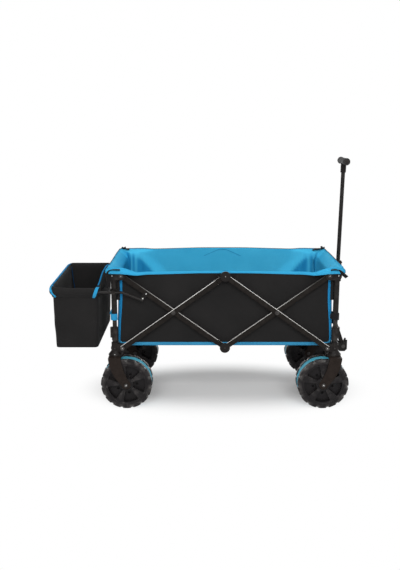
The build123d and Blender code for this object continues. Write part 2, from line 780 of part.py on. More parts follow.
with BuildPart() as handle_lock_button:
    with BuildSketch(button_plane.offset(button_inner)):
        Circle(button_radius)
    extrude(amount=button_outer - button_inner)
    fillet(handle_lock_button.faces().sort_by(Axis.X)[-1].edges(), small_fillet)
save(handle_lock_button, "handle_lock_button")

upper_tube_low = lower_tube_length - upper_tube_inset
with BuildPart() as handle_upper_tube:
    with BuildSketch(handle_axis.offset(upper_tube_low)):
        Circle(upper_tube_radius)
        Circle(upper_tube_radius - tube_wall, mode=Mode.SUBTRACT)
    extrude(amount=upper_tube_length)
save(handle_upper_tube, "handle_upper_tube")

grip_centre = handle_axis.offset(grip_along).origin
grip_plane = Plane(origin=grip_centre, x_dir=(1, 0, 0), z_dir=(0, -1, 0))
with BuildPart() as handle_tee:
    with BuildSketch(handle_axis.offset(tee_low)):
        Circle(tee_radius)
        with PolarLocations(tee_radius, tee_flutes):
            Circle(tee_flute_radius, mode=Mode.SUBTRACT)
    extrude(amount=grip_along - tee_low)
    with BuildSketch(grip_plane.offset(-grip_length / 2)):
        Circle(grip_core_radius)
    extrude(amount=grip_length)
    with BuildSketch(handle_axis.offset(tee_low)):
        Circle(upper_tube_radius + running_gap)
    extrude(amount=upper_tube_low + upper_tube_length - tee_low + running_gap, mode=Mode.SUBTRACT)
save(handle_tee, "handle_tee")

with BuildPart() as grip:
    with BuildSketch(grip_plane.offset(-grip_length / 2)):
        Circle(grip_radius)
    extrude(amount=grip_length)
    for ring_start in (-grip_length / 2, grip_length / 2 - grip_ring_width):
        with BuildSketch(grip_plane.offset(ring_start)):
            Circle(grip_ring_radius)
        extrude(amount=grip_ring_width)
    fillet(grip.edges().filter_by(GeomType.CIRCLE).filter_by(lambda e: e.radius > grip_radius), small_fillet)
    with BuildSketch(grip_plane.offset(-grip_length / 2)):
        Circle(grip_core_radius + running_gap)
    extrude(amount=grip_length, mode=Mode.SUBTRACT)
    with BuildSketch(handle_axis.offset(tee_low)):
        Circle(tee_radius + loose_gap)
    extrude(amount=grip_along - tee_low, mode=Mode.SUBTRACT)
save(grip, "grip")

# Rear bag: a bent rod hinged on the rear posts, a hook under each falling bar, and the fabric bag
hinge_x = at(rear, post_half_base)
bend_x = hinge_x + bag_bend_forward
tip_x = hinge_x + bag_tip_forward
tip_z = bag_rod_z - bag_tip_drop
back_x = at(rear, bag_rod_back)
eye_inner = bag_rod_y - bag_rod_radius + loose_gap
eye_outer = bag_rod_y + bag_rod_radius - loose_gap

with BuildPart() as bag_frame:
    with BuildLine() as rod_path:
        FilletPolyline(
            (tip_x, -bag_rod_y, tip_z),
            (bend_x, -bag_rod_y, bag_rod_z),
            (back_x, -bag_rod_y, bag_rod_z),
            (back_x, bag_rod_y, bag_rod_z),
            (bend_x, bag_rod_y, bag_rod_z),
            (tip_x, bag_rod_y, tip_z),
            radius=[bag_bend_radius, bag_rod_corner, bag_rod_corner, bag_bend_radius],
        )
    with BuildSketch(Plane(origin=rod_path.line @ 0, z_dir=rod_path.line % 0)):
        Circle(bag_rod_radius)
    sweep()
    for first, last in ((eye_inner, eye_outer), (-eye_outer, -eye_inner)):
        disc(hinge_x, bag_rod_z, bag_eye_radius, first, last)
        disc(hinge_x, bag_rod_z, pin_radius + running_gap, first - layer_gap, last + layer_gap, Mode.SUBTRACT)
save(bag_frame, "bag_frame")

with BuildPart() as bag_hinge_brackets:
    low_z = bag_rod_z - bag_clamp_height / 2
    stud(hinge_x, -post_y, bag_clamp_radius, low_z, low_z + bag_clamp_height)
    disc(hinge_x, bag_rod_z, bag_eye_radius, post_y, eye_inner - loose_gap)
    disc(hinge_x, bag_rod_z, pin_radius, post_y, eye_outer + loose_gap)
    disc(hinge_x, bag_rod_z, pin_head_radius, eye_outer + loose_gap, eye_outer + loose_gap + pin_head_height)
    stud(hinge_x, -post_y, outer_post_radius + running_gap, low_z, low_z + bag_clamp_height, Mode.SUBTRACT)
    mirror(about=Plane.XZ)
save(bag_hinge_brackets, "bag_hinge_brackets")

arm_run = hypot(tip_x - bend_x, bag_tip_drop)
arm_x = (tip_x - bend_x) / arm_run
arm_z = -bag_tip_drop / arm_run
hook_offset = bag_rod_radius + pin_radius + hook_pin_gap
hook_x = bend_x + arm_x * arm_run * hook_pin_share - arm_z * hook_offset
hook_z = bag_rod_z + arm_z * arm_run * hook_pin_share + arm_x * hook_offset
bar_slope = atan2(bottom_pivot_z - top_pivot_z, pivot_half_span)
bar_reach = (hook_x - at(rear, pivot_half_span)) * cos(bar_slope) + (hook_z - top_pivot_z) * sin(bar_slope)
foot_x = at(rear, pivot_half_span) + bar_reach * cos(bar_slope)
foot_z = top_pivot_z + bar_reach * sin(bar_slope)
with BuildPart() as bag_hook_brackets:
    with BuildSketch(Plane.XZ.offset(falling_outer)):
        with Locations(((hook_x + foot_x) / 2, (hook_z + foot_z) / 2)):
            SlotCenterToCenter(
                hypot(foot_x - hook_x, foot_z - hook_z),
                2 * pin_head_radius,
                rotation=degrees(atan2(foot_z - hook_z, foot_x - hook_x)),
            )
    extrude(amount=hook_plate)
    disc(hook_x, hook_z, pin_radius, falling_outer, bag_rod_y + bag_rod_radius + layer_gap)
    mirror(about=Plane.XZ)
save(bag_hook_brackets, "bag_hook_brackets")


# A tapered block between two levels of the bag, set in from its outer faces
def bag_block(inset, floor_level, mode):
    share = (floor_level - bag_low_z) / (bag_high_z - bag_low_z)
    front_low = bag_front_bottom + (bag_front_top - bag_front_bottom) * share
    back_low = bag_back_bottom + (bag_back_top - bag_back_bottom) * share
    half_low = bag_half_width_bottom + (bag_half_width_top - bag_half_width_bottom) * share
    levels = (
        (floor_level, front_low, back_low, half_low),
        (bag_high_z, bag_front_top, bag_back_top, bag_half_width_top),
    )
    rings = []
    for z, front_x, back, half_width in levels:
        with BuildSketch(Plane.XY.offset(z)) as ring:
            with Locations((at(rear, (front_x + back) / 2), 0)):
                RectangleRounded(back - front_x - 2 * inset, 2 * (half_width - inset), bag_corner_radius - inset)
        rings.append(ring.sketch)
    loft(rings, ruled=True, mode=mode)


with BuildPart() as bag_shell:
    bag_block(0, bag_low_z, Mode.ADD)
    bag_block(fabric, bag_low_z + fabric, Mode.SUBTRACT)
save(bag_shell, "bag_shell")

loop_inner = bag_rod_radius + loose_gap / 2
loop_outer = loop_inner + strap_thickness
loop_starts = (
    at(rear, bag_rod_back - bag_rod_corner - bag_loop_inset),
    at(rear, bag_front_top + bag_loop_length),
)
with BuildPart() as bag_corner_loops:
    for start in loop_starts:
        with BuildSketch(Plane.YZ.offset(start)):
            with Locations((-bag_rod_y, bag_rod_z)):
                Circle(loop_outer)
                with Locations((0, -loop_inner - bag_loop_tail / 2)):
                    Rectangle(strap_thickness, bag_loop_tail)
                Circle(loop_inner, mode=Mode.SUBTRACT)
        extrude(amount=bag_loop_length)
    mirror(about=Plane.XZ)
save(bag_corner_loops, "bag_corner_loops")
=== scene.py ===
import bpy
import numpy as np
from math import acos, copysign, cos, exp, pi, radians, sin, sqrt
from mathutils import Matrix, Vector, noise


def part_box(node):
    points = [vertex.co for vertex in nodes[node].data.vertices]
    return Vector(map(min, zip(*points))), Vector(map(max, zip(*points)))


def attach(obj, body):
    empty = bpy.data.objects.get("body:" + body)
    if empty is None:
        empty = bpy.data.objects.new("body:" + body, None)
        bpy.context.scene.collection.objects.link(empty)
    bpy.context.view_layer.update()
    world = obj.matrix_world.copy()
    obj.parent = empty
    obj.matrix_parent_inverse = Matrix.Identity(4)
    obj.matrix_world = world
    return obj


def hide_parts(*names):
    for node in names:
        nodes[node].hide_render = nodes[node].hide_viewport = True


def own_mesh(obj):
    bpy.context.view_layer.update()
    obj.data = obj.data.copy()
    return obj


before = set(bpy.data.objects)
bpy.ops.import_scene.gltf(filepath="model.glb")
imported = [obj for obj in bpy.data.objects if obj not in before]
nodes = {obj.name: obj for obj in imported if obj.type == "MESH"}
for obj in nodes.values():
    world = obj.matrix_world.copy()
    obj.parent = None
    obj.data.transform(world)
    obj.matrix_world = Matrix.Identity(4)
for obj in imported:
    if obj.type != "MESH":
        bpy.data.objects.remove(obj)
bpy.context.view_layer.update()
scene = bpy.context.scene
print("frame loaded:", len(nodes), "CAD nodes")

# Measures below are in millimetres: x from the middle of the scissor sides, y to the wagon's left, z from the ground
midX = 0.078675
mm = 0.001
ends = ((-1, "rear"), (1, "front"))
hands = ((-1, "right"), (1, "left"))
sharpAngle = radians(38)


def smoothStep(low, high, value):
    t = np.clip((np.asarray(value, float) - low) / (high - low), 0, 1)
    return t * t * (3 - 2 * t)


def lerp(a, b, t):
    return a + (b - a) * t


def bell(value, wide):
    return np.exp(-(value / wide) ** 2)


def softNoise(points, size, seed):
    shift = Vector((seed * 7.3, seed * 3.1, seed * 5.7))
    return np.array([noise.noise(Vector(p) / size + shift) for p in points])


# Plan points lifted to one height, or each to its own
def atHeight(ring, z):
    return np.column_stack([ring, np.broadcast_to(z, len(ring))])


def closeUp(path):
    return np.concatenate([path, path[:1]])


def runLength(path):
    return np.concatenate([[0], np.cumsum(np.linalg.norm(np.diff(path, axis=0), axis=1))])


def addObject(name, data):
    made = bpy.data.objects.new(name, data)
    scene.collection.objects.link(made)
    return made


def makePiece(name, points, faces, material, uvs=None):
    points = np.asarray(points, float) * mm + (midX, 0, 0)
    mesh = bpy.data.meshes.new(name)
    mesh.from_pydata(points.tolist(), [], faces)
    if uvs is not None:
        uvs = np.asarray(uvs, float)
        if len(uvs) == len(points):  # one pair for each point, not for each corner of a face
            corners = np.zeros(len(mesh.loops), int)
            mesh.loops.foreach_get("vertex_index", corners)
            uvs = uvs[corners]
        mesh.uv_layers.new(name="clothUV").data.foreach_set("uv", uvs.ravel())
    mesh.polygons.foreach_set("use_smooth", [True] * len(mesh.polygons))
    mesh.update()
    mesh.materials.append(material)
    return addObject(name, mesh)


# Corners of a grid's quads as rows and columns, counted on past the last where the grid closes on itself
def gridQuads(rows, cols, corners=((0, 0), (0, 1), (1, 1), (1, 0))):
    return [[(j + r, i + c) for r, c in corners] for j in range(rows) for i in range(cols)]


def gridFaces(quads, rows, cols, base=0):
    return [[base + r % rows * cols + c % cols for r, c in quad] for quad in quads]


# Faces between rings of points that follow each other
def ringFaces(base, rings, sides):
    return gridFaces(gridQuads(rings - 1, sides), rings, sides, base)


def gridUvs(quads, across, along):
    return [(across[c] * mm, along[r] * mm) for quad in quads for r, c in quad]


# A woven surface from rows of points; uvs run in metres along the cloth
def clothGrid(name, grid, material, closeAcross=False, flip=False, thickness=0.9):
    grid = np.asarray(grid, float)
    rows, cols, _ = grid.shape
    wide = np.concatenate([grid, grid[:, :1]], axis=1) if closeAcross else grid
    quads = gridQuads(rows - 1, wide.shape[1] - 1)
    if flip:
        quads = [quad[::-1] for quad in quads]
    uvs = gridUvs(quads, runLength(wide[rows // 2]), runLength(wide[:, cols // 2]))
    piece = makePiece(name, grid.reshape(-1, 3), gridFaces(quads, rows, cols), material, uvs)
    solid = piece.modifiers.new("cloth thickness", "SOLIDIFY")
    solid.thickness = thickness * mm
    solid.offset = 0
    return piece


# A section swept along a path; sideways gives the section's first direction at each point
def sweep(name, path, section, sideways, material, closed=False):
    path = np.asarray(path, float)
    count = len(path)
    tangent = np.roll(path, -1, axis=0) - np.roll(path, 1, axis=0) if closed else np.gradient(path, axis=0)
    tangent /= np.linalg.norm(tangent, axis=1)[:, None]
    side = np.broadcast_to(np.asarray(sideways, float), path.shape)
    side = side - tangent * np.sum(side * tangent, axis=1)[:, None]
    side = side / np.linalg.norm(side, axis=1)[:, None]
    up = np.cross(tangent, side)
    section = np.asarray(section, float)
    if section.ndim == 2:
        section = np.broadcast_to(section, (count,) + section.shape)
    ring = section.shape[1]
    points = path[:, None] + side[:, None] * section[..., :1] + up[:, None] * section[..., 1:]
    quads = gridQuads(count if closed else count - 1, ring, ((0, 0), (1, 0), (1, 1), (0, 1)))
    faces = gridFaces(quads, count, ring)
    uvs = gridUvs(quads, runLength(closeUp(section[0])), runLength(closeUp(path)))
    if not closed:
        faces.append(list(range(ring)))
        faces.append(list(range((count - 1) * ring, count * ring))[::-1])
        uvs += [(0, 0)] * (2 * ring)
    return makePiece(name, points.reshape(-1, 3), faces, material, uvs)


def roundSection(radius, sides=8, flat=1):
    turn = np.arange(sides) * 2 * pi / sides
    return np.stack([radius * np.cos(turn), radius * flat * np.sin(turn)], axis=1)


# Webbing: a flat strip with rounded edges and fine lengthwise ribs
webbing = {"edge": 0.6, "furrow": 0.78}


def webbingSection(width, thickness, ribs=6):
    half, t = width / 2, thickness / 2
    xs = np.linspace(-half + t * webbing["edge"], half - t * webbing["edge"], 2 * ribs + 1)
    lift = np.where(np.arange(len(xs)) % 2 == 0, t, t * webbing["furrow"])
    top = np.stack([xs, lift], axis=1)
    return np.concatenate([top[::-1], [[-half, 0]], np.stack([xs, -lift], axis=1), [[half, 0]]])


# A smooth line through all the points
def smoothPath(points, steps=5):
    points = np.asarray(points, float)
    last = len(points) - 1
    out = []
    for i in range(last):
        p0, p1, p2, p3 = (points[min(max(k, 0), last)] for k in (i - 1, i, i + 1, i + 2))
        bend, twist = 2 * p0 - 5 * p1 + 4 * p2 - p3, 3 * p1 - p0 - 3 * p2 + p3
        for s in range(steps):
            t = s / steps
            out.append(0.5 * (2 * p1 + (p2 - p0) * t + bend * t * t + twist * t ** 3))
    return np.array(out + [points[-1]])


# Rows of thread: one small rounded dash per stitch, all in one mesh
stitch = {"pitch": 4.2, "length": 2.9, "radius": 0.42, "sides": 5, "sizes": (0.45, 1, 0.45)}


def pointAt(points, along, place):
    return np.array([np.interp(place, along, column) for column in points.T])


def stitchRows(name, rows, material):
    points, faces = [], []
    length, sides, rings = stitch["length"], stitch["sides"], len(stitch["sizes"])
    turns = [2 * pi * a / sides for a in range(sides)]
    for path, normals in rows:
        path = np.asarray(path, float)
        normals = np.broadcast_to(np.asarray(normals, float), path.shape)
        along = runLength(path)
        for start in np.arange(stitch["pitch"] / 2, along[-1] - length, stitch["pitch"]):
            spots = [pointAt(path, along, start + d) for d in (0, length / 2, length)]
            up = pointAt(normals, along, start)
            up /= np.linalg.norm(up)
            run = spots[2] - spots[0]
            run /= np.linalg.norm(run) + 1e-9
            side = np.cross(run, up)
            base = len(points)
            for spot, size in zip(spots, stitch["sizes"]):
                points += [spot + stitch["radius"] * size * (cos(turn) * side + sin(turn) * up) for turn in turns]
            faces += ringFaces(base, rings, sides)
            faces.append([base + a for a in range(sides)][::-1])
            faces.append([base + (rings - 1) * sides + a for a in range(sides)])
    return makePiece(name, points, faces, material)


# Shader nodes; a socket given as a value is linked
def plug(sockets, *values):
    for socket, value in zip(sockets, values):
        if isinstance(value, bpy.types.NodeSocket):
            socket.id_data.links.new(value, socket)
        else:
            socket.default_value = value


def fill(sockets, **values):
    plug([sockets[key.replace("_", " ")] for key in values], *values.values())


def addNode(tree, kind, settings=None, **values):
    node = tree.nodes.new(f"ShaderNode{kind}")
    for key, value in (settings or {}).items():
        setattr(node, key, value)
    fill(node.inputs, **values)
    return node


def mathNode(tree, operation, *values, kind="Math"):
    node = addNode(tree, kind, {"operation": operation})
    plug(node.inputs, *values)
    return node.outputs["Value" if operation == "LENGTH" else 0]


def mapRange(tree, value, low=0, high=1, start=0, end=1, curve="LINEAR"):
    node = addNode(tree, "MapRange", {"interpolation_type": curve}, Value=value, From_Min=low, From_Max=high)
    fill(node.inputs, To_Min=start, To_Max=end)
    return node.outputs["Result"]


def mixColor(tree, share, first, second):
    mix = addNode(tree, "Mix", {"data_type": "RGBA"})
    plug([mix.inputs[index] for index in (0, 6, 7)], share, first, second)
    return mix.outputs[2]


def splitVector(tree, vector):
    return addNode(tree, "SeparateXYZ", Vector=vector).outputs


def noiseNode(tree, vector, scale, detail, roughness=0.5):
    look = {"Vector": vector, "Scale": scale, "Detail": detail, "Roughness": roughness}
    return addNode(tree, "TexNoise", **look).outputs["Fac"]


# Shader groups that several materials share; an input with no value is a vector
def newGroup(name, inputs, outputs):
    group = bpy.data.node_groups.new(name, "ShaderNodeTree")
    for label, value in inputs.items():
        kind = "Vector" if value is None else "Color" if isinstance(value, tuple) else "Float"
        socket = group.interface.new_socket(name=label, in_out="INPUT", socket_type=f"NodeSocket{kind}")
        if value is not None:
            socket.default_value = value
    for label in outputs:
        kind = "Color" if label == "Color" else "Float"
        group.interface.new_socket(name=label, in_out="OUTPUT", socket_type=f"NodeSocket{kind}")
    given, made = group.nodes.new("NodeGroupInput"), group.nodes.new("NodeGroupOutput")
    return group, given.outputs, made.inputs


def makeWeaveGroup():
    tree, given, made = newGroup("plain weave", {"Vector": None, "Pitch": 0.0012}, ["Height"])
    parts = splitVector(tree, given["Vector"])
    rate = mathNode(tree, "DIVIDE", 2 * pi, given["Pitch"])
    warp, weft = (mathNode(tree, "SINE", mathNode(tree, "MULTIPLY", parts[axis], rate)) for axis in "XY")
    crossing = mathNode(tree, "MULTIPLY", warp, weft)
    fill(made, Height=mathNode(tree, "ADD", mathNode(tree, "MULTIPLY", crossing, 0.5), 0.5))
    return tree


def makeToneGroup():
    inputs = {"Vector": None, "Color": (0.5, 0.5, 0.5, 1), "Shade": (0.3, 0.3, 0.3, 1), "Scale": 9, "Amount": 0.5}
    tree, given, made = newGroup("uneven tone", inputs, ["Color", "Mask"])
    mask = mapRange(tree, noiseNode(tree, given["Vector"], given["Scale"], 4, 0.55), 0.32, 0.68)
    share = mathNode(tree, "MULTIPLY", mask, given["Amount"])
    fill(made, Color=mixColor(tree, share, given["Color"], given["Shade"]), Mask=mask)
    return tree


def makeGrainGroup():
    tree, given, made = newGroup("moulded grain", {"Vector": None, "Scale": 900}, ["Height"])
    fill(made, Height=noiseNode(tree, given["Vector"], given["Scale"], 2, 0.6))
    return tree


# Lighter colour in patches on sharp edges: real edge wear, and on the wheels and lug webs a painted highlight
def makeWearAndGlintGroup():
    inputs = {"Vector": None, "Color": (0.03, 0.03, 0.03, 1), "Worn": (0.2, 0.2, 0.2, 1), "Amount": 0.4}
    tree, given, made = newGroup("edge wear", inputs, ["Color"])
    edge = mapRange(tree, addNode(tree, "NewGeometry").outputs["Pointiness"], 0.52, 0.62)
    patchy = mapRange(tree, noiseNode(tree, given["Vector"], 60, 3), 0.4, 0.7)
    mask = mathNode(tree, "MULTIPLY", mathNode(tree, "MULTIPLY", edge, patchy), given["Amount"])
    fill(made, Color=mixColor(tree, mask, given["Color"], given["Worn"]))
    return tree


weaveGroup = makeWeaveGroup()
toneGroup = makeToneGroup()
grainGroup = makeGrainGroup()
wearAndGlintGroup = makeWearAndGlintGroup()


def groupNode(tree, group, **values):
    return addNode(tree, "Group", {"node_tree": group}, **values).outputs


def srgb(color):
    return tuple(((c / 255 + 0.055) / 1.055) ** 2.4 if c > 10 else c / 255 / 12.92 for c in color) + (1,)


def blankMaterial(name):
    material = bpy.data.materials.new(name)
    material.use_nodes = True
    tree = material.node_tree
    return material, tree, tree.nodes["Principled BSDF"].inputs, addNode(tree, "TexCoord").outputs


def addSurface(tree, shader, height, strength, depth, mask, smoothest, roughest):
    bump = addNode(tree, "Bump", Height=height, Strength=strength, Distance=depth)
    fill(shader, Normal=bump.outputs["Normal"], Roughness=mapRange(tree, mask, start=smoothest, end=roughest))


cloth = {"toneAmount": 0.6, "grainScale": 140, "bumpDepth": 0.0006, "spread": 0.06, "sheenRoughness": 0.45}


# Woven cloth; crease is a darker colour mixed in as painted shade, by the amount a point attribute of the piece gives
def clothMaterial(
    name, color, shade, pitch, roughness, bump=0.5, sheen=0.03, toneScale=9, specular=0.05, crease=None
):
    material, tree, shader, coords = blankMaterial(name)
    place = coords["Object"]
    look = {"Color": srgb(color), "Shade": srgb(shade), "Scale": toneScale, "Amount": cloth["toneAmount"]}
    tone = groupNode(tree, toneGroup, Vector=place, **look)
    base = tone["Color"]
    if crease:
        # painted shade: the point attribute darkens the cloth towards the crease colour
        paintedShade = addNode(tree, "Attribute", {"attribute_name": "paintedShade"})
        base = mixColor(tree, paintedShade.outputs["Fac"], base, srgb(crease))
    weave = groupNode(tree, weaveGroup, Vector=coords["UV"], Pitch=pitch)
    grain = groupNode(tree, grainGroup, Vector=place, Scale=cloth["grainScale"])
    both = mathNode(tree, "ADD", weave["Height"], grain["Height"])
    spread = cloth["spread"]
    addSurface(tree, shader, both, bump, cloth["bumpDepth"], tone["Mask"], roughness - spread, roughness + spread)
    fill(shader, Base_Color=base, Sheen_Weight=sheen, Sheen_Roughness=cloth["sheenRoughness"])
    fill(shader, Specular_IOR_Level=specular)
    return material


hard = {
    "shade": 0.75, "toneScale": 22, "toneAmount": 0.25, "bumpDepth": 0.0004, "smoother": 0.05, "rougher": 0.07,
    "facing": (0.3, 0.55), "steepest": 0.7, "fadedShare": 0.12,
}


# Paint, metal and mouldings; upper is a painted highlight on the faces that look up, flank colours those that look
# sideways
def hardMaterial(
    name, color, wornAndGlint, roughness, metallic=0, grainScale=900, bump=0.15, wearAndGlint=0.4, specular=0.3,
    upper=None, flank=None, upperFrom=None,
):
    material, tree, shader, coords = blankMaterial(name)
    place = coords["Object"]
    main = srgb(color)
    look = {"Color": main, "Shade": tuple(c * hard["shade"] for c in main[:3]) + (1,)}
    tone = groupNode(tree, toneGroup, Vector=place, Scale=hard["toneScale"], Amount=hard["toneAmount"], **look)
    base = groupNode(tree, wearAndGlintGroup, Vector=place, Color=tone["Color"], Worn=srgb(wornAndGlint), Amount=wearAndGlint)["Color"]
    if upper or flank:
        normal = splitVector(tree, coords["Normal"])
        facing = normal["Z"] if upper else mathNode(tree, "ABSOLUTE", normal["Y"])
        share = mapRange(tree, facing, *hard["facing"], curve="SMOOTHSTEP")
        if upper:
            across = mathNode(tree, "MULTIPLY", normal["Y"], normal["Y"])
            inPlane = mathNode(tree, "POWER", mathNode(tree, "SUBTRACT", 1.001, across), 0.5)
            slope = mathNode(tree, "DIVIDE", normal["Z"], inPlane)
            share = mathNode(tree, "MULTIPLY", share, mathNode(tree, "GREATER_THAN", slope, hard["steepest"]))
        if upperFrom:  # the painted highlight fades out between these heights, as painted shade under the rim
            fade = mapRange(tree, splitVector(tree, place)["Z"], *upperFrom, 1, hard["fadedShare"])
            share = mathNode(tree, "MULTIPLY", share, fade)
        base = mixColor(tree, share, base, srgb(upper or flank))
    grain = groupNode(tree, grainGroup, Vector=place, Scale=grainScale)["Height"]
    smoothest, roughest = roughness - hard["smoother"], roughness + hard["rougher"]
    addSurface(tree, shader, grain, bump, hard["bumpDepth"], tone["Mask"], smoothest, roughest)
    fill(shader, Base_Color=base, Metallic=metallic, Specular_IOR_Level=specular)
    return material


tape = {"bump": 0.6, "sheen": 0, "specular": 0.015}
# the crease colour is painted shade, mixed into the lining by its shade attribute
blueLining = clothMaterial(
    "blue lining", (66, 170, 208), (52, 155, 196), 0.0011, 0.72, sheen=0, specular=0.02, crease=(14, 114, 168)
)
blueBinding = clothMaterial("blue binding tape", (32, 122, 172), (20, 96, 146), 0.0014, 0.75, **tape)
blueSeam = clothMaterial("blue seam tape", (20, 62, 98), (14, 46, 78), 0.0014, 0.75, **tape)
blueHem = clothMaterial("blue hem tape", (52, 130, 168), (40, 112, 150), 0.0012, 0.7)
blueWebbing = clothMaterial("blue webbing", (48, 148, 192), (28, 110, 158), 0.0020, 0.55, bump=0.8)
blackCloth = clothMaterial("black woven cloth", (33, 32, 32), (26, 26, 26), 0.0012, 0.75, sheen=0.04, toneScale=7)
blackWebbing = clothMaterial("black webbing", (27, 26, 27), (20, 19, 20), 0.0020, 0.6, bump=0.8, sheen=0.05)
matCloth = clothMaterial("mat cloth", (46, 46, 49), (34, 34, 37), 0.0014, 0.75, bump=0.7, sheen=0.15)
blueThread = clothMaterial("blue thread", (70, 160, 205), (50, 140, 190), 0.0006, 0.5, bump=0.3)
blackThread = clothMaterial("black thread", (52, 51, 51), (36, 36, 36), 0.0006, 0.5, bump=0.3)
framePaint = hardMaterial("satin black paint", (25, 23, 22), (84, 81, 78), 0.3, bump=0.02, wearAndGlint=0.12, specular=0.12)
barCoat = {"color": (26, 23, 21), "wornAndGlint": (70, 66, 62), "roughness": 0.36, "bump": 0.02, "wearAndGlint": 0.12, "specular": 0.06}
# the pale upper colour on the bars' top faces is a painted highlight
barPaintAndHighlight = hardMaterial("bar paint", **barCoat, upper=(226, 224, 221))
innerBarPaintAndHighlight = hardMaterial("inner bar paint", **barCoat, upper=(196, 194, 191), upperFrom=(0.4, 0.5))
innerPaint = hardMaterial("inner tube paint", (32, 29, 27), (100, 96, 92), 0.28, bump=0.03, wearAndGlint=0.3, specular=0.15)
zincSteel = hardMaterial(
    "zinc plated steel", (190, 190, 188), (225, 225, 222), 0.32, metallic=1, grainScale=400, bump=0.1
)
pinPaint = hardMaterial("blackened pins", (44, 41, 40), (120, 117, 114), 0.4, metallic=0.2, bump=0.08)
mouldedBlack = hardMaterial("moulded black", (25, 22, 21), (72, 68, 65), 0.42, specular=0.12)
forkBlack = hardMaterial("fork moulding", (34, 28, 25), (70, 62, 56), 0.45, bump=0.04, wearAndGlint=0.1, specular=0.06)
# lug webs: real gloss, and a lighter colour that is a painted glint on their edges
lugGlossAndPaintedGlint = hardMaterial("glossy lug web, painted glint", (44, 43, 42), (120, 117, 114), 0.28, bump=0.05, wearAndGlint=0.5, specular=0.35)
gripRubber = hardMaterial("grip rubber", (31, 30, 30), (64, 62, 61), 0.7, grainScale=500, bump=0.5, specular=0.2)
# the wheel's light edge colour is partly edge wear, partly a painted highlight on its edges
wheelBlack = hardMaterial("wheel moulding", (26, 24, 25), (104, 100, 98), 0.38, wearAndGlint=0.7, specular=0.13)
treadBlue = hardMaterial(
    "tread band rubber", (77, 171, 195), (120, 190, 210), 0.6, grainScale=500, bump=0.3, specular=0.2,
    flank=(26, 26, 28),
)
print("materials ready")


def eachEnd(*names):
    return [f"{word}_{name}" for name in names for _, word in ends]


def eachWheel(name):
    return [f"{word}_{hand}_{name}" for _, word in ends for _, hand in hands]


# CAD nodes that keep their shape get a finish and softened edges of this width
finishes = {
    "rising": (barPaintAndHighlight, eachEnd("rising_bars"), 0.4),
    "falling": (innerBarPaintAndHighlight, eachEnd("falling_bars"), 0.4),
    "frame": (framePaint, eachEnd("outer_posts", "lower_posts", "axle_beam", "top_rail") + [
        "bottom_cross_tube", "handle_lower_tube", "handle_upper_tube", "handle_cradle", "bag_frame",
        "bag_hook_brackets",
    ], 0.4),
    "inner": (innerPaint, eachEnd("mid_posts"), 0.3),
    "pins": (pinPaint, eachEnd("rising_pins", "falling_pins") + ["handle_pivot_pin"], 0.6),
    "bolts": (pinPaint, ["rear_axle_bolts", "front_right_caster_bolts", "front_left_caster_bolts"], 0.6),
    "mouldings": (mouldedBlack, eachEnd("bottom_fittings", "top_brackets") + [
        "bottom_hub_caps", "top_hub_caps", "bag_hinge_brackets", "handle_neck", "handle_collar", "handle_tee",
        "handle_lock_button",
    ], 0.9),
    "forks": (forkBlack, eachWheel("fork"), 1.2),
    "grip": (gripRubber, ["grip"], 0.6),
    "wheels": (wheelBlack, eachWheel("wheel"), 1.3),
    "treads": (treadBlue, eachWheel("tread_band"), 0.5),
}


def finishNodes():
    for material, names, edge in finishes.values():
        for name in names:
            node = nodes[name]
            node.data.materials.clear()
            node.data.materials.append(material)
            bevel = node.modifiers.new("softened edge", "BEVEL")
            bevel.width = edge * mm
            bevel.segments = 2
            bevel.limit_method = "ANGLE"
            bevel.angle_limit = sharpAngle


finishNodes()
print("CAD nodes finished")

# Fabric tub; a pair of numbers is the stretch of its plan over which one form passes into the next
tub = {
    "halfLong": 413, "halfWide": 195.6, "corner": 15, "floorZ": 251, "shellLow": 248.6,
    "rimNear": 542.2, "rimFar": 565.5, "nearDip": 2.4, "farDip": 5.6,
    "cornerNear": 561.5, "cornerFar": 557.5, "rimEnd": 559.5, "flareSide": 27, "flareEnd": 33.8,
    "kneeNear": 4, "kneeFar": 3, "kneeCorner": 12.5, "kneeEnd": 528, "kneeEndRise": 19,
    "hemDrop": 5.4, "hemSag": 3.1, "collarOut": 9, "collarDrop": 12.3, "bead": 2.5, "bulge": 4.3,
    "liningRows": 36, "turnRows": 7, "liningFold": 12, "shellRows": 34, "shellFold": 2.2, "shellOut": 1.9,
    "shellDrop": 2.6, "foldedShare": 0.335, "foldFade": (0.93, 1), "beadTurns": (150, 115, 75, 40, 8),
    "onEnd": (396, 406), "flare": (290, 376), "far": (-150, 150), "dip": (60, 325), "rise": (334, 383),
    "endFlare": (340, 406), "endRim": (60, 190), "endKnee": (150, 184), "bulgeX": (380, 412), "bulgeZ": (300, 450),
}
trim = {
    "stripTop": 397, "stripFoot": 406.5, "stripEnd": 172, "stripLow": 249, "stripHigh": 536, "stripOut": 3.4,
    "stripTaper": (255, 500), "stripSeam": (266, 528), "footLift": 12, "footX": (398, 416), "footY": (165, 192),
    "footZ": (250, 290), "hemLow": 247.2, "hemHigh": 260.5, "hemOut": 3.9, "stitchOut": 4.6, "pipingFrom": -182,
    "patchHalf": 38, "patchLow": 497, "patchRound": 515, "patchHigh": 533, "patchOut": 4.2,
    "patchStitchOut": 4.9, "patchStitchHalf": 34, "patchStitchDeep": 15, "hemStitchDrop": 2.2, "tentDrop": 18,
}
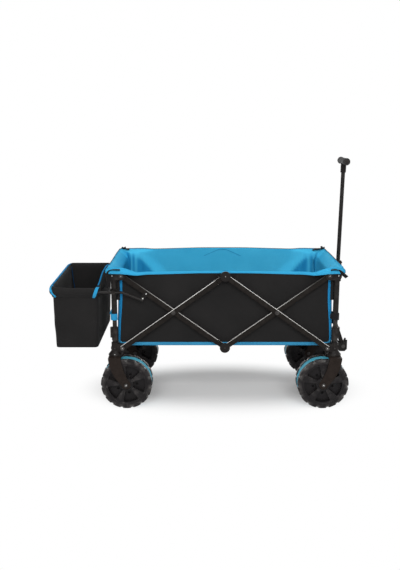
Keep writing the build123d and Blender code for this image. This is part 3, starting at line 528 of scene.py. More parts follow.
folds = {
    "wallHeight": 300, "rise": (0.05, 0.6), "facing": 0.7, "broad": 120, "fine": 34,
    "reach": 88, "pitch": 42, "tighter": 9, "lean": 1.3, "sharp": 1.6,
    "creaseAt": 19, "creaseWide": 4.5, "creaseShift": 5, "shadeAt": 20, "shadeWide": 5.5, "shadeTop": (552, 520),
    "wedgeFrom": 40, "wedgeLeast": 46, "wedgeTop": 530, "wedgeRun": 75, "wedgeLean": 0.95, "wedgeDepth": 0.024,
    "wedgeFade": 60, "wedgeRise": (265, 400), "darkFrom": (36, 44), "darkTo": (-14, 4), "darkTop": (536, 505),
}


def onTub(piece):
    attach(piece, "tub")
    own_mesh(piece)
    return piece


# Points round a rounded rectangle with their outward directions, from the near side's rear end
def planRing(halfLong, halfWide, corner, step=10, arcSteps=8, counts=None):
    a, b = halfLong - corner, halfWide - corner
    across, along = counts or (int(2 * a / step), int(2 * b / step))
    runs = (
        ((-a, -halfWide), (a, -halfWide), across, (a, -b), -90),
        ((halfLong, -b), (halfLong, b), along, (a, b), 0),
        ((a, halfWide), (-a, halfWide), across, (-a, b), 90),
        ((-halfLong, b), (-halfLong, -b), along, (-a, -b), 180),
    )
    points, outward = [], []
    for start, end, count, centre, turn in runs:
        for t in (i / count for i in range(count + 1)):
            points.append((lerp(start[0], end[0], t), lerp(start[1], end[1], t)))
            outward.append((cos(radians(turn)), sin(radians(turn))))
        for angle in (radians(turn + 90 * i / arcSteps) for i in range(1, arcSteps)):
            outward.append((cos(angle), sin(angle)))
            points.append((centre[0] + corner * cos(angle), centre[1] + corner * sin(angle)))
    return np.array(points), np.array(outward)


# Half length, half width and corner radius of the tub's plan, this much further out
def tubSizes(extra):
    return [tub[key] + extra for key in ("halfLong", "halfWide", "corner")]


# Points pushed outwards and set at a height
def pushOut(ring, outward, by, z):
    return atHeight(ring[:, :2] + outward * np.reshape(by, (-1, 1)), z)


# Rim, knee and hem of the tub wall above each point of its plan
def tubShape(extra, drop):
    ring, outward = planRing(*tubSizes(extra))
    x, y = ring.T
    ax, ay = np.abs(x), np.abs(y)
    onEnd, flare, dip, rise = (smoothStep(*tub[key], ax) for key in ("onEnd", "flare", "dip", "rise"))
    far = smoothStep(*tub["far"], y)
    rimSide = lerp(tub["rimNear"] - tub["nearDip"] * dip, tub["rimFar"] - tub["farDip"] * dip, far)
    rimCorner = lerp(tub["cornerNear"], tub["cornerFar"], far)
    rimEnd = lerp(tub["rimEnd"], rimCorner, smoothStep(*tub["endRim"], ay))
    rim = np.stack([
        x + np.sign(x) * tub["flareEnd"] * smoothStep(*tub["endFlare"], ax),
        y * (1 + tub["flareSide"] / tub["halfWide"] * flare),
        lerp(lerp(rimSide, rimCorner, rise), rimEnd, onEnd) - drop,
    ], axis=1)
    kneeSide = lerp(rimSide - tub["kneeNear"] - tub["kneeFar"] * far, rimCorner - tub["kneeCorner"], rise)
    kneeEnd = tub["kneeEnd"] + tub["kneeEndRise"] * smoothStep(*tub["endKnee"], ay)
    hem = tub["hemDrop"] + tub["hemSag"] * dip + tub["collarDrop"] * np.maximum(rise, onEnd)
    return ring, outward, rim, lerp(kneeSide, kneeEnd, onEnd) - drop, flare, hem


# How far the folds stand at one height, and how much painted shade each point gets
def wallFolds(ring, outward, z, depth, seed):
    x, y = ring.T
    outX, outY = np.abs(outward).T
    onEnd, onSide = outX > folds["facing"], outY > folds["facing"]
    fromCorner = np.where(outY > outX, tub["halfLong"] - np.abs(x), tub["halfWide"] - np.abs(y))
    height = (z - tub["floorZ"]) / folds["wallHeight"]
    near = bell(fromCorner, folds["reach"])
    pleats = 0.5 + 0.5 * np.sin(
        fromCorner * (2 * pi / (folds["pitch"] - folds["tighter"] * height))
        + folds["lean"] * height + 0.9 * np.sign(x) + 0.5 * np.sign(y)
    )
    shift = folds["creaseShift"] * height
    pleats = pleats ** folds["sharp"] + 0.7 * bell(fromCorner - folds["creaseAt"] - shift, folds["creaseWide"])
    broad = softNoise(atHeight(ring, z), folds["broad"], seed)
    fine = softNoise(atHeight(ring, z * 0.35), folds["fine"], seed + 3)
    rise = 0.35 + 0.65 * smoothStep(*folds["rise"], height)
    wedgeFrom = folds["wedgeFrom"]
    wedgeEnd = folds["wedgeLeast"] + folds["wedgeLean"] * np.clip(folds["wedgeTop"] - z, 0, folds["wedgeRun"])
    before, past = (fromCorner - wedgeFrom) / (wedgeEnd - wedgeFrom), fromCorner - wedgeEnd
    wedge = np.where(fromCorner < wedgeEnd, before, 1 - smoothStep(0, folds["wedgeFade"], past)).clip(0, 1)
    wedge *= folds["wedgeDepth"] * (wedgeEnd - wedgeFrom) * onSide * smoothStep(*folds["wedgeRise"], z)
    # painted shade over the corner wedge of the long sides, and in the crease beside it
    inWedge = smoothStep(*folds["darkFrom"], fromCorner) * (1 - smoothStep(*folds["darkTo"], past))
    inWedge *= onSide * smoothStep(*folds["darkTop"], z)
    inCrease = bell(fromCorner - folds["shadeAt"] - shift, folds["shadeWide"]) * smoothStep(*folds["shadeTop"], z)
    # painted shade on the end walls, heavier on the left end and between the pleats near the corners
    endShade = onEnd * (0.46 - 0.24 * np.sign(x) + 0.3 * near * (1 - pleats.clip(0, 1)))
    stand = -(depth * (near * pleats * rise + wedge)) + 1.3 * broad * (depth / 7) + 0.5 * fine * near
    return stand, np.clip(0.75 * inWedge + 0.8 * inCrease + endShade, 0, 1)


def makeLining():
    ring, outward, rim, knee, flare, hem = tubShape(0, 0)
    rows, paintedShade = [], []
    for t in np.linspace(0, 1, tub["liningRows"]):
        z = lerp(tub["floorZ"], knee, t)
        fold, shade = wallFolds(ring, outward, float(np.mean(z)), tub["liningFold"], 1)
        paintedShade.append(shade)
        fold *= 1 - smoothStep(*tub["foldFade"], t) * 0.7
        rows.append(pushOut(ring, outward, np.minimum(fold, 0.4), z))
    kneePoints, turnRows = rows[-1], tub["turnRows"]
    ripple, wave = softNoise(rim, 26, 9), 0.8 * softNoise(rim, 60, 4)
    for s in np.linspace(0.14, 1, turnRows):
        row = lerp(kneePoints, rim, s)
        row[:, 2] += 1.6 * sin(pi * s) + 0.9 * ripple * sin(pi * s)
        rows.append(row)
    r, rimZ = tub["bead"], rim[:, 2]
    for turn in np.radians(tub["beadTurns"]):
        rows.append(pushOut(rim, outward, r + r * cos(turn), rimZ + r * sin(turn)))
    for s in np.linspace(0.15, 1, 6):
        offset = 2 * r + wave * s + tub["collarOut"] * flare * smoothStep(0, 0.6, s)
        rows.append(pushOut(rim, outward, offset, rimZ - s * hem))
    lining = clothGrid("tub_lining", rows, blueLining, closeAcross=True)
    # painted shade: the wall rows keep theirs, the turn rows fade it out, and the rim and collar rows take a steady 0.4
    rest = len(rows) - len(paintedShade) - turnRows
    paintedShade += [paintedShade[-1] * share for share in np.linspace(0.8, 0, turnRows)] + [np.full(len(ring), 0.4)] * rest
    lining.data.attributes.new("paintedShade", "FLOAT", "POINT").data.foreach_set("value", np.concatenate(paintedShade))
    return lining, rows[-2], outward, pushOut(rim, outward, r + 1.3, rimZ + 3.5)


# The tub's lower corners are rounded off in side view
def footLift(ring):
    ax, ay = np.abs(ring[:, 0]), np.abs(ring[:, 1])
    return trim["footLift"] * smoothStep(*trim["footX"], ax) * smoothStep(*trim["footY"], ay)


# Its ends swell a little towards the foot
def addBulge(points):
    x, z = points[:, 0], points[:, 2]
    share = smoothStep(*tub["bulgeX"], np.abs(x)) * (1 - smoothStep(*tub["bulgeZ"], z))
    points[:, 0] += np.sign(x) * tub["bulge"] * share
    return points


def makeShell():
    ring, outward, rim, knee, _, _ = tubShape(tub["shellOut"], tub["shellDrop"])
    rows = []
    for t in np.linspace(0, 1, tub["shellRows"]):
        z = lerp(tub["shellLow"] + footLift(ring), knee, t)
        fold, _ = wallFolds(ring, outward, float(np.mean(z)), tub["shellFold"], 5)
        rows.append(addBulge(pushOut(ring, outward, np.maximum(fold * 0.6, -0.6), z)))
    kneePoints = rows[-1]
    rows += [lerp(kneePoints, rim, s) for s in np.linspace(0.16, 0.9, 6)]
    return clothGrid("tub_outer_cloth", rows, blackCloth, closeAcross=True)


# Dark piping along the top of the far rim and the ends
def makePiping(seam):
    x, beyond = seam[:, 0], seam[:, 1] > trim["pipingFrom"]
    first, last = np.flatnonzero(beyond & (x > 0))[0], np.flatnonzero(beyond & (x < 0))[-1]
    return sweep("rim_piping", seam[first:last + 1], roundSection(1.4), (0, 0, 1), blackWebbing)


lining, hemLine, rimOut, rimSeam = makeLining()
shell = makeShell()
onTub(makePiping(rimSeam))
onTub(lining)
onTub(shell)
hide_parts("side_panels")
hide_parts("end_panels")
print("tub lining and outer cloth sewn")

# Bindings, hem and patches sewn on the outside of the tub; the seams are kept for the thread
stripSeams = []


# A tape folded round one upright corner of the tub, narrower towards its foot
def makeStrip(label, sx, sy):
    half, wide, corner = tubSizes(trim["stripOut"])
    start, seamColumn = half - corner, 3
    rows, seam, facing = [], [], []
    for z in np.linspace(trim["stripLow"], trim["stripHigh"], 40):
        inner = lerp(trim["stripFoot"], trim["stripTop"], smoothStep(*trim["stripTaper"], z))
        inner += 0.8 * softNoise([(0, sx * 9, z)], 60, 2)[0]
        turn = np.linspace(-acos(max(inner - start, 0) / corner), 0, 12)
        arc = np.column_stack([start + corner * np.cos(turn), -wide + corner + corner * np.sin(turn)])
        end = [(half, y) for y in np.linspace(-wide + corner, -trim["stripEnd"], 4)[1:]]
        path = np.array(arc.tolist() + end)
        row = addBulge(atHeight(path, z + footLift(path) * (1 - smoothStep(*trim["footZ"], z))))
        rows.append(row * (sx, -sy, 1))
        if trim["stripSeam"][0] < z < trim["stripSeam"][1]:
            facing.append((sx * cos(turn[seamColumn]), -sy * sin(turn[seamColumn]), 0))
            seam.append(rows[-1][seamColumn] + np.array(facing[-1]) * 0.9)
    stripSeams.append((seam, facing))
    return clothGrid(f"{label}_edge_binding", rows, blueBinding, flip=sx * sy > 0)


def makeTrims():
    corners = (("rear_near", -1, -1), ("front_near", 1, -1), ("front_far", 1, 1), ("rear_far", -1, 1))
    made = [makeStrip(*corner) for corner in corners]
    ring, _ = planRing(*tubSizes(trim["hemOut"]), step=4, arcSteps=10)
    levels = np.linspace(trim["hemLow"], trim["hemHigh"], 4)
    hem = [addBulge(atHeight(ring, z + footLift(ring))) for z in levels]
    return made + [clothGrid("bottom_hem", hem, blueHem, closeAcross=True)]


for piece in makeTrims():
    onTub(piece)


# Half-round patch that backs each top hub, and the seam it leaves inside
def makeHubPatches():
    made = []
    low, bend = trim["patchLow"], trim["patchRound"]
    slope = ((80, 534), (56, 544.5), (32, 555), (12, 562.5))
    for label, side in (("near", -1), ("far", 1)):
        rows = []
        for z in (lerp(low, trim["patchHigh"], t) for t in np.linspace(0, 1, 14)):
            drop = max(0, (bend - z) / (bend - low))
            half = trim["patchHalf"] * sqrt(max(1 - drop * drop, 0.02))
            rows.append([(x, side * (tub["halfWide"] + trim["patchOut"]), z) for x in np.linspace(-half, half, 15)])
        made.append(clothGrid(f"{label}_hub_patch", rows, blackWebbing, thickness=1))
        tent = smoothPath([(-x, 0, z) for x, z in slope] + [(x, 0, z) for x, z in slope[::-1]])
        tent[:, 1] = side * (tub["halfWide"] - 1.2)
        tent[:, 2] -= trim["tentDrop"] * (side < 0)
        made.append(sweep(f"{label}_hub_seam", tent, roundSection(0.8, 6), (0, 0, 1), blueBinding))
    return made


for piece in makeHubPatches():
    onTub(piece)

# Floor cloth and the folding padded mat on it
floor = {
    "z": 250.6, "clothLong": 409, "clothWide": 194, "matLow": 252, "matHeight": 6.2, "panels": 4, "seam": 3.5,
    "halfLong": 397, "halfWide": 182, "corner": 12, "channels": (-0.5, 0, 0.5), "columns": 31, "rows": 49,
    "crownX": 9, "crownY": 12, "grooveWide": 4, "grooveDepth": 0.55,
}


def makeFloorCloth():
    xs = np.linspace(-floor["clothLong"], floor["clothLong"], 42)
    ys = np.linspace(-floor["clothWide"], floor["clothWide"], 22)
    rows = np.array([[(x, y, floor["z"]) for x in xs] for y in ys])
    rows[..., 2] += 0.5 * softNoise(rows.reshape(-1, 3), 90, 6).reshape(rows.shape[:2])
    return clothGrid("tub_floor_cloth", rows, blackCloth, thickness=1)


# A crowned pad with rounded corners, flat below, sewn across in channels
def makePad(name, centre, halfX):
    halfY, corner, low, nu, nv = (floor[key] for key in ("halfWide", "corner", "matLow", "columns", "rows"))
    points = []
    for v in np.linspace(-1, 1, nv):
        for u in np.linspace(-1, 1, nu):
            x, y = u * halfX, v * halfY
            over = np.array([max(abs(x) - halfX + corner, 0), max(abs(y) - halfY + corner, 0)]) / corner
            if over.min() > 0:
                over *= over.max() / np.linalg.norm(over)
                x = copysign(halfX - corner + corner * over[0], x)
                y = copysign(halfY - corner + corner * over[1], y)
            puff = sqrt(max(1 - abs(u) ** floor["crownX"], 0)) * sqrt(max(1 - abs(v) ** floor["crownY"], 0))
            groove = min(sum(exp(-(((v - c) * halfY) / floor["grooveWide"]) ** 2) for c in floor["channels"]), 1)
            points.append((centre + x, y, low + 0.5 + floor["matHeight"] * puff * (1 - floor["grooveDepth"] * groove)))
    points = np.array(points)
    points[:, 2] += 0.25 * softNoise(points, 24, 8)
    faces = gridFaces(gridQuads(nv - 1, nu - 1), nv, nu)
    index = np.arange(nv * nu).reshape(nv, nu)
    edge = np.concatenate([index[0], index[1:, -1], index[-1, -2::-1], index[-2:0:-1, 0]]).tolist()
    base, n = len(points), len(edge)
    under = points[edge].copy()
    under[:, 2] = low
    points = np.concatenate([points, under])
    faces += [[edge[(k + 1) % n], edge[k], base + k, base + (k + 1) % n] for k in range(n)]
    faces.append([base + k for k in range(n)][::-1])
    return makePiece(name, points, faces, matCloth, points[:, :2] * mm)


floorCloth = onTub(makeFloorCloth())
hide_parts("tub_floor")
panelLong = (2 * floor["halfLong"] - (floor["panels"] - 1) * floor["seam"]) / floor["panels"]
for i in range(floor["panels"]):
    centre = -floor["halfLong"] + panelLong / 2 + i * (panelLong + floor["seam"])
    pad = onTub(makePad(f"mat_panel_{i + 1}", centre, panelLong / 2))
    if i == 0:
        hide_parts("floor_mat")
print("floor and mat laid")

# Webbing straps on the rim corners, as routes and quarter turns; the near tails hang and stick out as they were left
strap = {"width": 19, "thickness": 1.8}
cornerStraps = {
    "rear_near": ([
        (-402, -233.5, 557), (-410, -234.8, 557.8), (-420, -235.2, 558), (-431, -235, 557.6), (-440, -234, 555),
        (-446, -233, 546), (-447.5, -232, 530), (-447, -231, 506), (-446, -230, 487),
    ], [0.3, 0.3, 0.3, 0.3, 0.32, 0.4, 0.45, 0.5, 0.5]),
    "front_near": ([
        (400, -233, 556), (410, -235, 558), (421, -236, 558.5), (431, -238, 554), (440, -240, 546), (450, -241, 537.5),
        (460.5, -242, 529),
    ], [0, 0, 0.15, 0.4, 0.6, 0.6, 0.6]),
    "rear_far": ([
        (-408, 214, 559.5), (-418, 216, 562), (-427, 220, 563.5), (-433, 226, 563), (-436, 230.5, 557),
        (-437, 232, 547), (-437, 232, 537),
    ], [0, 0.1, 0.4, 0.7, 0.9, 0.9, 0.9]),
    "front_far": ([
        (396, 210, 556), (408, 211, 560.5), (426, 212, 563), (438, 218, 564.6), (443, 226, 566), (444, 231, 560),
        (444, 232.5, 549), (444, 232, 538),
    ], [0, 0, 0.1, 0.5, 0.8, 0.9, 0.9, 0.9]),
}
for label, (route, twist) in cornerStraps.items():
    path = smoothPath(route)
    turns = np.interp(np.linspace(0, 1, len(path)), np.linspace(0, 1, len(twist)), twist) * pi / 2
    along, across = -1 if label.startswith("front") else 1, 1 if label.endswith("near") else -1
    sideways = np.stack([np.sin(turns) * along, np.cos(turns) * across, np.zeros(len(path))], axis=1)
    section = webbingSection(strap["width"], strap["thickness"])
    onTub(sweep(f"{label}_rim_strap", path, section, sideways, blackWebbing))

# Webbing round each post, and straps that hang the tub's ends on the rails
tie = {
    "z": 375, "slope": 9, "height": 26, "thickness": 1.7, "postX": 430, "rearShare": 0.95, "rearLift": 22,
    "strapY": 168, "strapWidth": 18, "coverLow": 431, "coverHigh": 512,
    "loop": (
        (409, 191), (419, 189.6), (431, 190.8), (440, 196.5), (443.6, 205), (439.5, 213.5), (430, 217.4), (420, 214.5),
        (413.6, 207), (411.6, 199.6),
    ),
    "hang": (
        (433, 515.5), (424.5, 516.5), (420.8, 522), (421.5, 529.5), (426.5, 534), (433, 534), (438, 530), (439.6, 523),
        (439.9, 510), (441.6, 495), (440.2, 480),
    ),
    "cover": ((408, 199.6), (411, 200.4), (414, 201.2), (417, 201), (419.3, 200.2)),
}


def makeTies(end, word, side, hand):
    loop = smoothPath(tie["loop"]) * (end, side)
    loop = atHeight(loop, tie["z"] - tie["slope"] * np.sqrt(np.sin(np.linspace(0, pi, len(loop))).clip(0)))
    if end < 0:  # the rear loops are open towards the tub
        loop = loop[8:-7]
        post = tie["postX"] * end
        loop[:, 0] = post + (loop[:, 0] - post) * tie["rearShare"] - 1.5
        loop[:, 2] = tie["z"] - tie["slope"] + tie["rearLift"] * smoothStep(10, 0, np.arange(len(loop)))
    section = webbingSection(tie["height"], tie["thickness"], 8)
    tieLoop = sweep(f"{word}_{hand}_post_loop", loop, section, (0, 0, 1), blueWebbing if end < 0 else blackWebbing)
    hang = np.insert(smoothPath(tie["hang"]) * (end, 1), 1, side * tie["strapY"], axis=1)
    section = webbingSection(tie["strapWidth"], tie["thickness"])
    railStrap = sweep(f"{word}_{hand}_rail_strap", hang, section, (0, 1, 0), blackWebbing)
    levels = np.linspace(tie["coverLow"], tie["coverHigh"], 10)
    cover = [[(end * x, side * y, z) for x, y in tie["cover"]] for z in levels]
    return [tieLoop, railStrap, clothGrid(f"{word}_{hand}_corner_cover", cover, blackCloth)]


for end, word in ends:
    parts = [piece for side, hand in hands for piece in makeTies(end, word, side, hand)]
    for piece in parts:
        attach(piece, f"{word}_upper")
    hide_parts(f"{word}_tub_ties")
print("straps threaded")

# Rear bag; slack and sleeve are its free and its held edge as steps outwards and heights, or turns round the rod
bag = {
    "rodY": 224, "rodZ": 466, "rodBack": 671.35, "lowZ": 240.5, "highZ": 479, "corner": 15, "hemY": 206,
    "front": (498.5, 490), "back": (662, 666), "half": (206, 216.5), "sideReach": 88, "endReach": 216,
    "frontNear": 12, "frontRise": 24, "frontDrop": 16, "riseY": (-205, -40), "dropY": (60, 206),
    "nearStand": 3.5, "backStand": 4, "backX": (-600, -660), "farStand": 14, "sleeveOut": 8.2, "sleeveHigh": 12,
    "sleeveMid": 467, "wallLow": 248, "wallHigh": 440, "wallRows": 26, "foldedShare": 0.88,
    "slack": (
        (0, 449), (0, 457), (0, 465), (0, 470), (0, 474), (0.3, 477), (1.2, 478.4), (2, 477), (2.3, 473), (2.4, 468),
        (2.4, 463), (2.4, 456), (2.4, 447),
    ),
    "sleeve": (
        (0.2, 449), (0.4, 457), (0.6, 465), (145, None), (115, None), (90, None), (65, None), (40, None), (10, None),
        (-20, None), (-50, None), (6, 453), (3, 445),
    ),
}


def bagLevel(z):
    share = (z - bag["lowZ"]) / (bag["highZ"] - bag["lowZ"])
    front, back, half = (lerp(*bag[key], share) for key in ("front", "back", "half"))
    ring, outward = planRing((back - front) / 2, half, bag["corner"], counts=(16, 38), arcSteps=7)
    return ring + (-(front + back) / 2, 0), outward, share


# The bag's front edge is pulled up towards the tub, less so at its near end
def bagFrontLift(y):
    rise, drop = smoothStep(*bag["riseY"], y), smoothStep(*bag["dropY"], y)
    return bag["frontNear"] + bag["frontRise"] * rise - bag["frontDrop"] * drop


# Its hem stands higher above the rod towards the far side and at the near back corner
def bagStand(x, y):
    far = (y + bag["endReach"]) / (2 * bag["endReach"])
    back = smoothStep(*bag["backX"], x) * (1 - far)
    return bag["nearStand"] + bag["backStand"] * back + bag["farStand"] * far


def makeBag():
    low = bag["lowZ"]
    ring, outward, _ = bagLevel(low)
    rows = []
    for s in (0.999, 0.8, 0.6, 0.4, 0.2, 0.08):
        sag = 2.5 * sin(pi * min(s, 0.5))
        rows.append(atHeight(lerp(ring, ring.mean(axis=0), s), low + 0.4 - sag))
    rows += [pushOut(ring, outward, -3.2, low + 0.2), pushOut(ring, outward, -0.9, low + 2.2)]
    for z in np.linspace(bag["wallLow"], bag["wallHigh"], bag["wallRows"]):
        ring, outward, share = bagLevel(z)
        x, y = ring.T
        onSide = np.abs(outward[:, 1]) > folds["facing"]
        across = np.where(onSide, np.abs(x - x.mean()) / bag["sideReach"], np.abs(y) / bag["endReach"])
        belly = (1 - np.clip(across, 0, 1) ** 2) * sin(pi * share) * np.where(onSide, 2.4, 5)
        crease = softNoise(atHeight(ring, z), 70, 11) * 2.6 + softNoise(atHeight(ring, z * 0.6), 28, 12) * 0.9
        crease *= sin(pi * min(share * 1.15, 1))
        rows.append(pushOut(ring, outward, belly + crease, z))
    ring, outward, _ = bagLevel(bag["rodZ"])
    x, y = ring.T
    held = 1 - smoothStep(0.15, 0.85, outward[:, 0])
    toSide, toBack = bag["rodY"] - np.abs(y).max(), bag["rodBack"] - np.abs(x).max()
    rodOut = lerp(toSide, toBack, smoothStep(0.3, 0.9, -outward[:, 0]))
    frontLift = (1 - held) * bagFrontLift(y)
    ripple = 0.8 * softNoise(atHeight(ring, 0), 40, 14)
    stand = bagStand(x, y)
    for (flatOut, flatZ), (out, z) in zip(bag["slack"], bag["sleeve"]):
        if z is None:
            turn = radians(out)
            out = rodOut + (bag["sleeveOut"] + ripple * 0.5) * cos(turn)
            z = bag["sleeveMid"] + (bag["sleeveHigh"] + ripple * 0.4 + stand * (sin(turn) > 0)) * sin(turn)
        lifted = lerp(flatZ, z, held) + frontLift * smoothStep(440, 474, flatZ)
        rows.append(pushOut(ring, outward, lerp(flatOut, out, held), lifted))
    return clothGrid("bag_cloth", rows, blackCloth, closeAcross=True, thickness=1.6)


def onBag(piece):
    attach(piece, "bag")
    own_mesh(piece)
    return piece


bagCloth = onBag(makeBag())
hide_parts("bag_shell")

bagTrim = {
    "frontX": -490.6, "frontZ": 478.6, "backX": -671, "tuck": 8, "tuckY": (190, 212), "lipScale": (0.62, -0.75),
    "wrap": (2, 112), "wrapOuter": (9.6, 13.4), "wrapInner": (8.6, 12.4),
    "stitchX": (-650, -506), "stitchY": 220.9, "stitchZ": 448,
    "lip": (
        (4.4, -7.5), (4.8, -2), (3.6, 1.6), (0, 2.8), (-3.6, 1.6), (-4.8, -2), (-4.4, -7.5), (-3.2, -7.2),
        (-3.2, -1.5), (0, 1.2), (3.2, -1.5), (3.2, -7.2),
    ),
    "seams": {
        "back": (0.6, (-632, 198.5, 250), (-664, 208, 482)),
        "front": (-0.6, (-505, 197, 250), (-498.5, 206.5, 468)),
    },
    "loops": {
        "front": (13, [
            (-488, -8, 484), (-490, 0, 486), (-493, 8, 480), (-497, 10.4, 469), (-501, 9.2, 458), (-504, 5.4, 450),
            (-507, -1, 444),
        ]),
        "back": (9, [
            (-668, -20, 489), (-670.5, -10, 487), (-671.5, -1, 480), (-666, 6, 468), (-658, 6.5, 458),
            (-652, 2, 448),
        ]),
    },
}


# Blue binding over the bag's front and back edges, seams in its corners, and the loops at the rod
def makeBagTrims():
    ys = np.linspace(-bag["hemY"], bag["hemY"], 44)
    front = np.column_stack([np.full(len(ys), bagTrim["frontX"]), ys, bagTrim["frontZ"] + bagFrontLift(ys)])
    back = np.column_stack([np.full(len(ys), -bag["rodBack"]), ys, bag["sleeveMid"] + bagStand(bagTrim["backX"], ys)])
    back[:, 0] += bagTrim["tuck"] * smoothStep(*bagTrim["tuckY"], np.abs(ys))
    wrap = np.radians(np.linspace(*bagTrim["wrap"], 14))
    arc = np.column_stack([-np.cos(wrap), -np.sin(wrap)])
    cover = np.concatenate([arc * bagTrim["wrapOuter"], (arc * bagTrim["wrapInner"])[::-1]])
    lip = np.array(bagTrim["lip"]) * bagTrim["lipScale"]
    made = [sweep("bag_front_binding", front, lip, (1, 0, 0), blueBinding)]
    made.append(sweep("bag_back_binding", back, cover, (1, 0, 0), blueBinding))
    for side, hand in hands:
        for word, (bow, low, high) in bagTrim["seams"].items():
            seam = lerp(np.array(low, float), np.array(high, float), np.linspace(0, 1, 16)[:, None]) * (1, side, 1)
            seam[:, 0] += 2 * np.sin(np.linspace(0, 2.2 * pi, len(seam))) * bow
            section = roundSection(2.1, flat=0.55)
            made.append(sweep(f"bag_{word}_{hand}_seam", seam, section, (1, -side, 0), blueSeam))
    for side, hand in hands:
        for word, (width, route) in bagTrim["loops"].items():
            loop = smoothPath(np.array(route) + (0, bag["rodY"], 0)) * (1, side, 1)
            taper = width * (0.62 + 0.38 * np.sin(np.linspace(0.25, pi - 0.25, len(loop))))
            section = [webbingSection(w, 1.8) for w in taper]
            sideways = (1, 0, 0) if word == "front" else (0.6, -0.5 * side, 0.6)
            made.append(sweep(f"bag_{word}_{hand}_loop", loop, section, sideways, blueWebbing))
    ring, outward, _ = bagLevel(bag["lowZ"])
    rim = pushOut(ring, outward, -1.2, bag["lowZ"] + 1.8)
    made.append(sweep("bag_bottom_piping", rim, roundSection(2.2), (0, 0, 1), blackWebbing, closed=True))
    return made


bagTrims = makeBagTrims()
for piece in bagTrims:
    onBag(piece)
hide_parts("bag_corner_loops")
print("bag sewn")


# Thread along the hems
def makeStitches():
    out = closeUp(rimOut)
    low = closeUp(hemLine)
    low[:, :2] += out * 0.7
    ring, outward = (closeUp(row) for row in planRing(*tubSizes(trim["stitchOut"]), step=8))
    hem = addBulge(atHeight(ring, trim["hemHigh"] - trim["hemStitchDrop"] + footLift(ring)))
    made = [stitchRows("rim_stitches", [(low, atHeight(out, 0))], blueThread)]
    made.append(stitchRows("bottom_hem_stitches", [(hem, atHeight(outward, 0))], blueThread))
    made.append(stitchRows("edge_stitches", stripSeams, blueThread))
    arcs = []
    turn = np.linspace(pi, 2 * pi, 20)
    for side, _ in hands:
        y = np.full(len(turn), side * (tub["halfWide"] + trim["patchStitchOut"]))
        z = trim["patchRound"] + trim["patchStitchDeep"] * np.sin(turn)
        arcs.append((np.column_stack([trim["patchStitchHalf"] * np.cos(turn), y, z]), (0, side, 0)))
    return made + [stitchRows("patch_stitches", arcs, blackThread)]


for piece in makeStitches():
    onTub(piece)


def makeBagStitches():
    xs = np.linspace(*bagTrim["stitchX"], 10)
    y, z = bagTrim["stitchY"], bagTrim["stitchZ"]
    rows = [([(x, side * y, z) for x in xs], (0, side, 0.2)) for side, _ in hands]
    return stitchRows("bag_hem_stitches", rows, blackThread)


onBag(makeBagStitches())
print("stitches run")

# Webs between the tyres' lugs, so that their edges run in shallow scallops
web = {
    "lugs": 15, "turn": 6, "half": 5.8, "root": 89, "crown": 99.4, "dip": 2.2, "reach": 9,
    "inner": 20.2, "outer": 37.8, "bevel": 3.8, "steps": 8, "radius": 100,
}


def makeWebs(wheel):
    low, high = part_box(wheel)
    cx, cy, cz = ((a + b) / 2 / mm for a, b in zip(low, high))
    cx -= midX / mm
    inner, outer, bevel, root, steps = (web[key] for key in ("inner", "outer", "bevel", "root", "steps"))
    points, faces = [], []
    for side, _ in hands:
        for lug in range(web["lugs"]):
            middle = radians(side * web["turn"] + 360 / web["lugs"] * lug)
            base = len(points)
            for step in range(steps + 1):
                along = lerp(-web["half"], web["half"], step / steps)
                turn = middle + along / web["radius"]
                crown = web["crown"] - web["dip"] * cos(pi * along / (2 * web["reach"])) ** 2
                section = [(inner, root), (inner, crown), (outer - bevel, crown), (outer, crown - bevel), (outer, root)]
                points += [(cx + r * cos(turn), cy + side * y, cz + r * sin(turn)) for y, r in section]
            count = len(section)
            made = [[base + a for a in range(count)][::-1]] + ringFaces(base, steps + 1, count)
            made.append([base + steps * count + a for a in range(count)])
            faces += made if side > 0 else [face[::-1] for face in made]
    piece = makePiece(wheel.replace("wheel", "lug_webs"), points, faces, lugGlossAndPaintedGlint)
    piece.data.set_sharp_from_angle(angle=sharpAngle)
    return piece


for wheel in finishes["wheels"][1]:
    piece = makeWebs(wheel)
    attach(piece, f"{wheel}_body")
print("tyre edges closed")

# Button-head screws and rivets on the brackets, pins and hubs
screw = {
    "profile": [(3.4, 0), (3.3, 0.8), (2.6, 1.5), (1.6, 1.8), (1.5, 1.1), (0.02, 1)], "sides": 16, "sunk": 0.3,
}
screwSpots = {}


def addScrews(end, side, rows):
    for x, y, z, body, size, metal in rows:
        screwSpots.setdefault((body, metal), []).append((end * x, side * y, z, side, size))


for end, word in ends:
    for side, hand in hands:
        addScrews(end, side, [
            (434, 220.3, 530, f"{word}_upper", 0.75, zincSteel),
            (400, 222.9, 529, f"{word}_falling", 0.6, zincSteel),
            (430, 219, 239.5, f"{word}_lower", 0.9, pinPaint),
            (430, 228.4, 217, f"{word}_lower", 0.9, zincSteel if end < 0 else pinPaint),
            (400, 228.6, 242, f"{word}_rising", 0.6, zincSteel),
            (386, 255, 100, "rear_lower" if end < 0 else f"front_{hand}_caster", 0.8, zincSteel),
        ])
for side, _ in hands:
    addScrews(1, side, [
        (-305, 218.4, 459, "rear_falling", 0.8, zincSteel),
        (-317.4, 230, 443.5, "rear_falling", 0.9, zincSteel),
        (200, 228.6, 385.5, "front_rising", 0.7, pinPaint),
        (0, 230.4, 529, "tub", 0.45, zincSteel),
        (0, 220.4, 242, "floor_bar", 0.8, pinPaint),
    ])


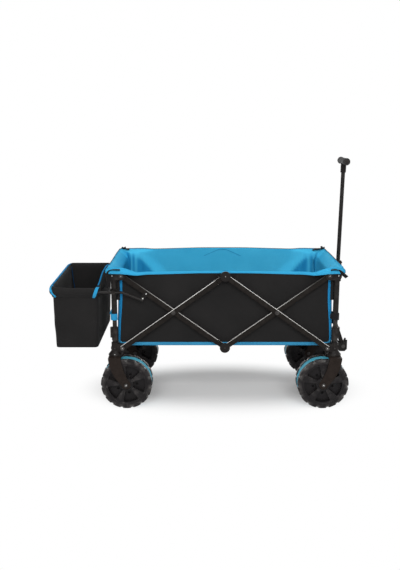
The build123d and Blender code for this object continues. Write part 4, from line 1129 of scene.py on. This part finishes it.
def makeScrews():
    sides, rings = screw["sides"], len(screw["profile"])
    turns = [2 * pi * a / sides for a in range(sides)]
    for (body, metal), spots in screwSpots.items():
        points, faces = [], []
        for x, y, z, side, size in spots:
            base = len(points)
            for radius, lift in screw["profile"]:
                out, reach = y + side * (size * lift - screw["sunk"]), size * radius
                points += [(x + reach * cos(turn), out, z + reach * sin(turn)) for turn in turns]
            made = ringFaces(base, rings, sides) + [[base + (rings - 1) * sides + a for a in range(sides)]]
            faces += made if side < 0 else [face[::-1] for face in made]
        piece = makePiece(f"{body}_{'screws' if metal == zincSteel else 'rivets'}", points, faces, metal)
        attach(piece, body)


makeScrews()
print("screws set")

# Pale floor, white surroundings, soft studio light: place, target, size and power of each lamp
studio = {
    "ambient": 0.5, "floorHalf": 14, "floorReach": (0.64, 0.36, 1), "floorFade": (0.45, 1.02),
    "lamps": {
        "key light": ((0, -0.4, 3.1), (0.05, 0, 0.35), (2.6, 2), 35),
        "fill light": ((0.1, -3.3, 2.3), (0.05, 0, 0.35), (2.6, 1.6), 98),
        "back light": ((0.08, 3, 0.85), (0.08, 0, 0.45), (3.2, 0.8), 26),
    },
}
white = (1, 1, 1, 1)


# One for what the camera sees directly or in a mirror, nought for what only lights
def seenRays(tree):
    rays = addNode(tree, "LightPath").outputs
    direct = mathNode(tree, "MAXIMUM", rays["Is Camera Ray"], rays["Is Glossy Ray"])
    return mathNode(tree, "MAXIMUM", direct, rays["Is Transmission Ray"])


def makeFloor():
    mesh = bpy.data.meshes.new("floor")
    half = studio["floorHalf"]
    mesh.from_pydata([(-half, -half, 0), (half, -half, 0), (half, half, 0), (-half, half, 0)], [], [(0, 1, 2, 3)])
    material, tree, shader, coords = blankMaterial("pale floor")
    fill(shader, Base_Color=(0.86, 0.86, 0.86, 1), Roughness=0.85, Specular_IOR_Level=0.1)
    centred = mathNode(tree, "SUBTRACT", coords["Object"], (midX, 0, 0), kind="VectorMath")
    scaled = mathNode(tree, "DIVIDE", centred, studio["floorReach"], kind="VectorMath")
    distance = mathNode(tree, "LENGTH", scaled, kind="VectorMath")
    fade = mapRange(tree, distance, *studio["floorFade"], curve="SMOOTHSTEP")
    share = mathNode(tree, "MULTIPLY", seenRays(tree), fade)
    glow = addNode(tree, "Emission", Color=white, Strength=1)
    mix = addNode(tree, "MixShader")
    plug(mix.inputs, share, tree.nodes["Principled BSDF"].outputs[0], glow.outputs[0])
    fill(tree.nodes["Material Output"].inputs, Surface=mix.outputs[0])
    mesh.materials.append(material)
    addObject("floor", mesh)


def makeLight():
    world = bpy.data.worlds.new("white studio")
    scene.world = world
    world.use_nodes = True
    tree = world.node_tree
    tree.nodes.clear()
    strength = mapRange(tree, seenRays(tree), start=studio["ambient"])
    glow = addNode(tree, "Background", Color=white, Strength=strength)
    addNode(tree, "OutputWorld", Surface=glow.outputs[0])
    for name, (place, target, size, power) in studio["lamps"].items():
        data = bpy.data.lights.new(name, "AREA")
        data.shape = "RECTANGLE"
        data.size, data.size_y = size
        data.energy = power
        lamp = addObject(name, data)
        lamp.location = place
        lamp.visible_camera = False
        lamp.rotation_euler = (Vector(target) - Vector(place)).to_track_quat("-Z", "Y").to_euler()


makeFloor()
makeLight()

# Camera at the photograph's place: level with a pitch down, its lens set for a 400 by 570 frame
view = {"place": (-0.018755, -2.97643, 1.10461), "pitchDown": 12.48, "lens": 46.489, "sensor": 36}
cameraData = bpy.data.cameras.new("photo camera")
cameraData.lens = view["lens"]
cameraData.sensor_width = view["sensor"]
camera = addObject("photo camera", cameraData)
camera.location = view["place"]
camera.rotation_euler = (radians(90 - view["pitchDown"]), 0, 0)
scene.camera = camera
scene.view_settings.view_transform = "Standard"
print("stage lit")
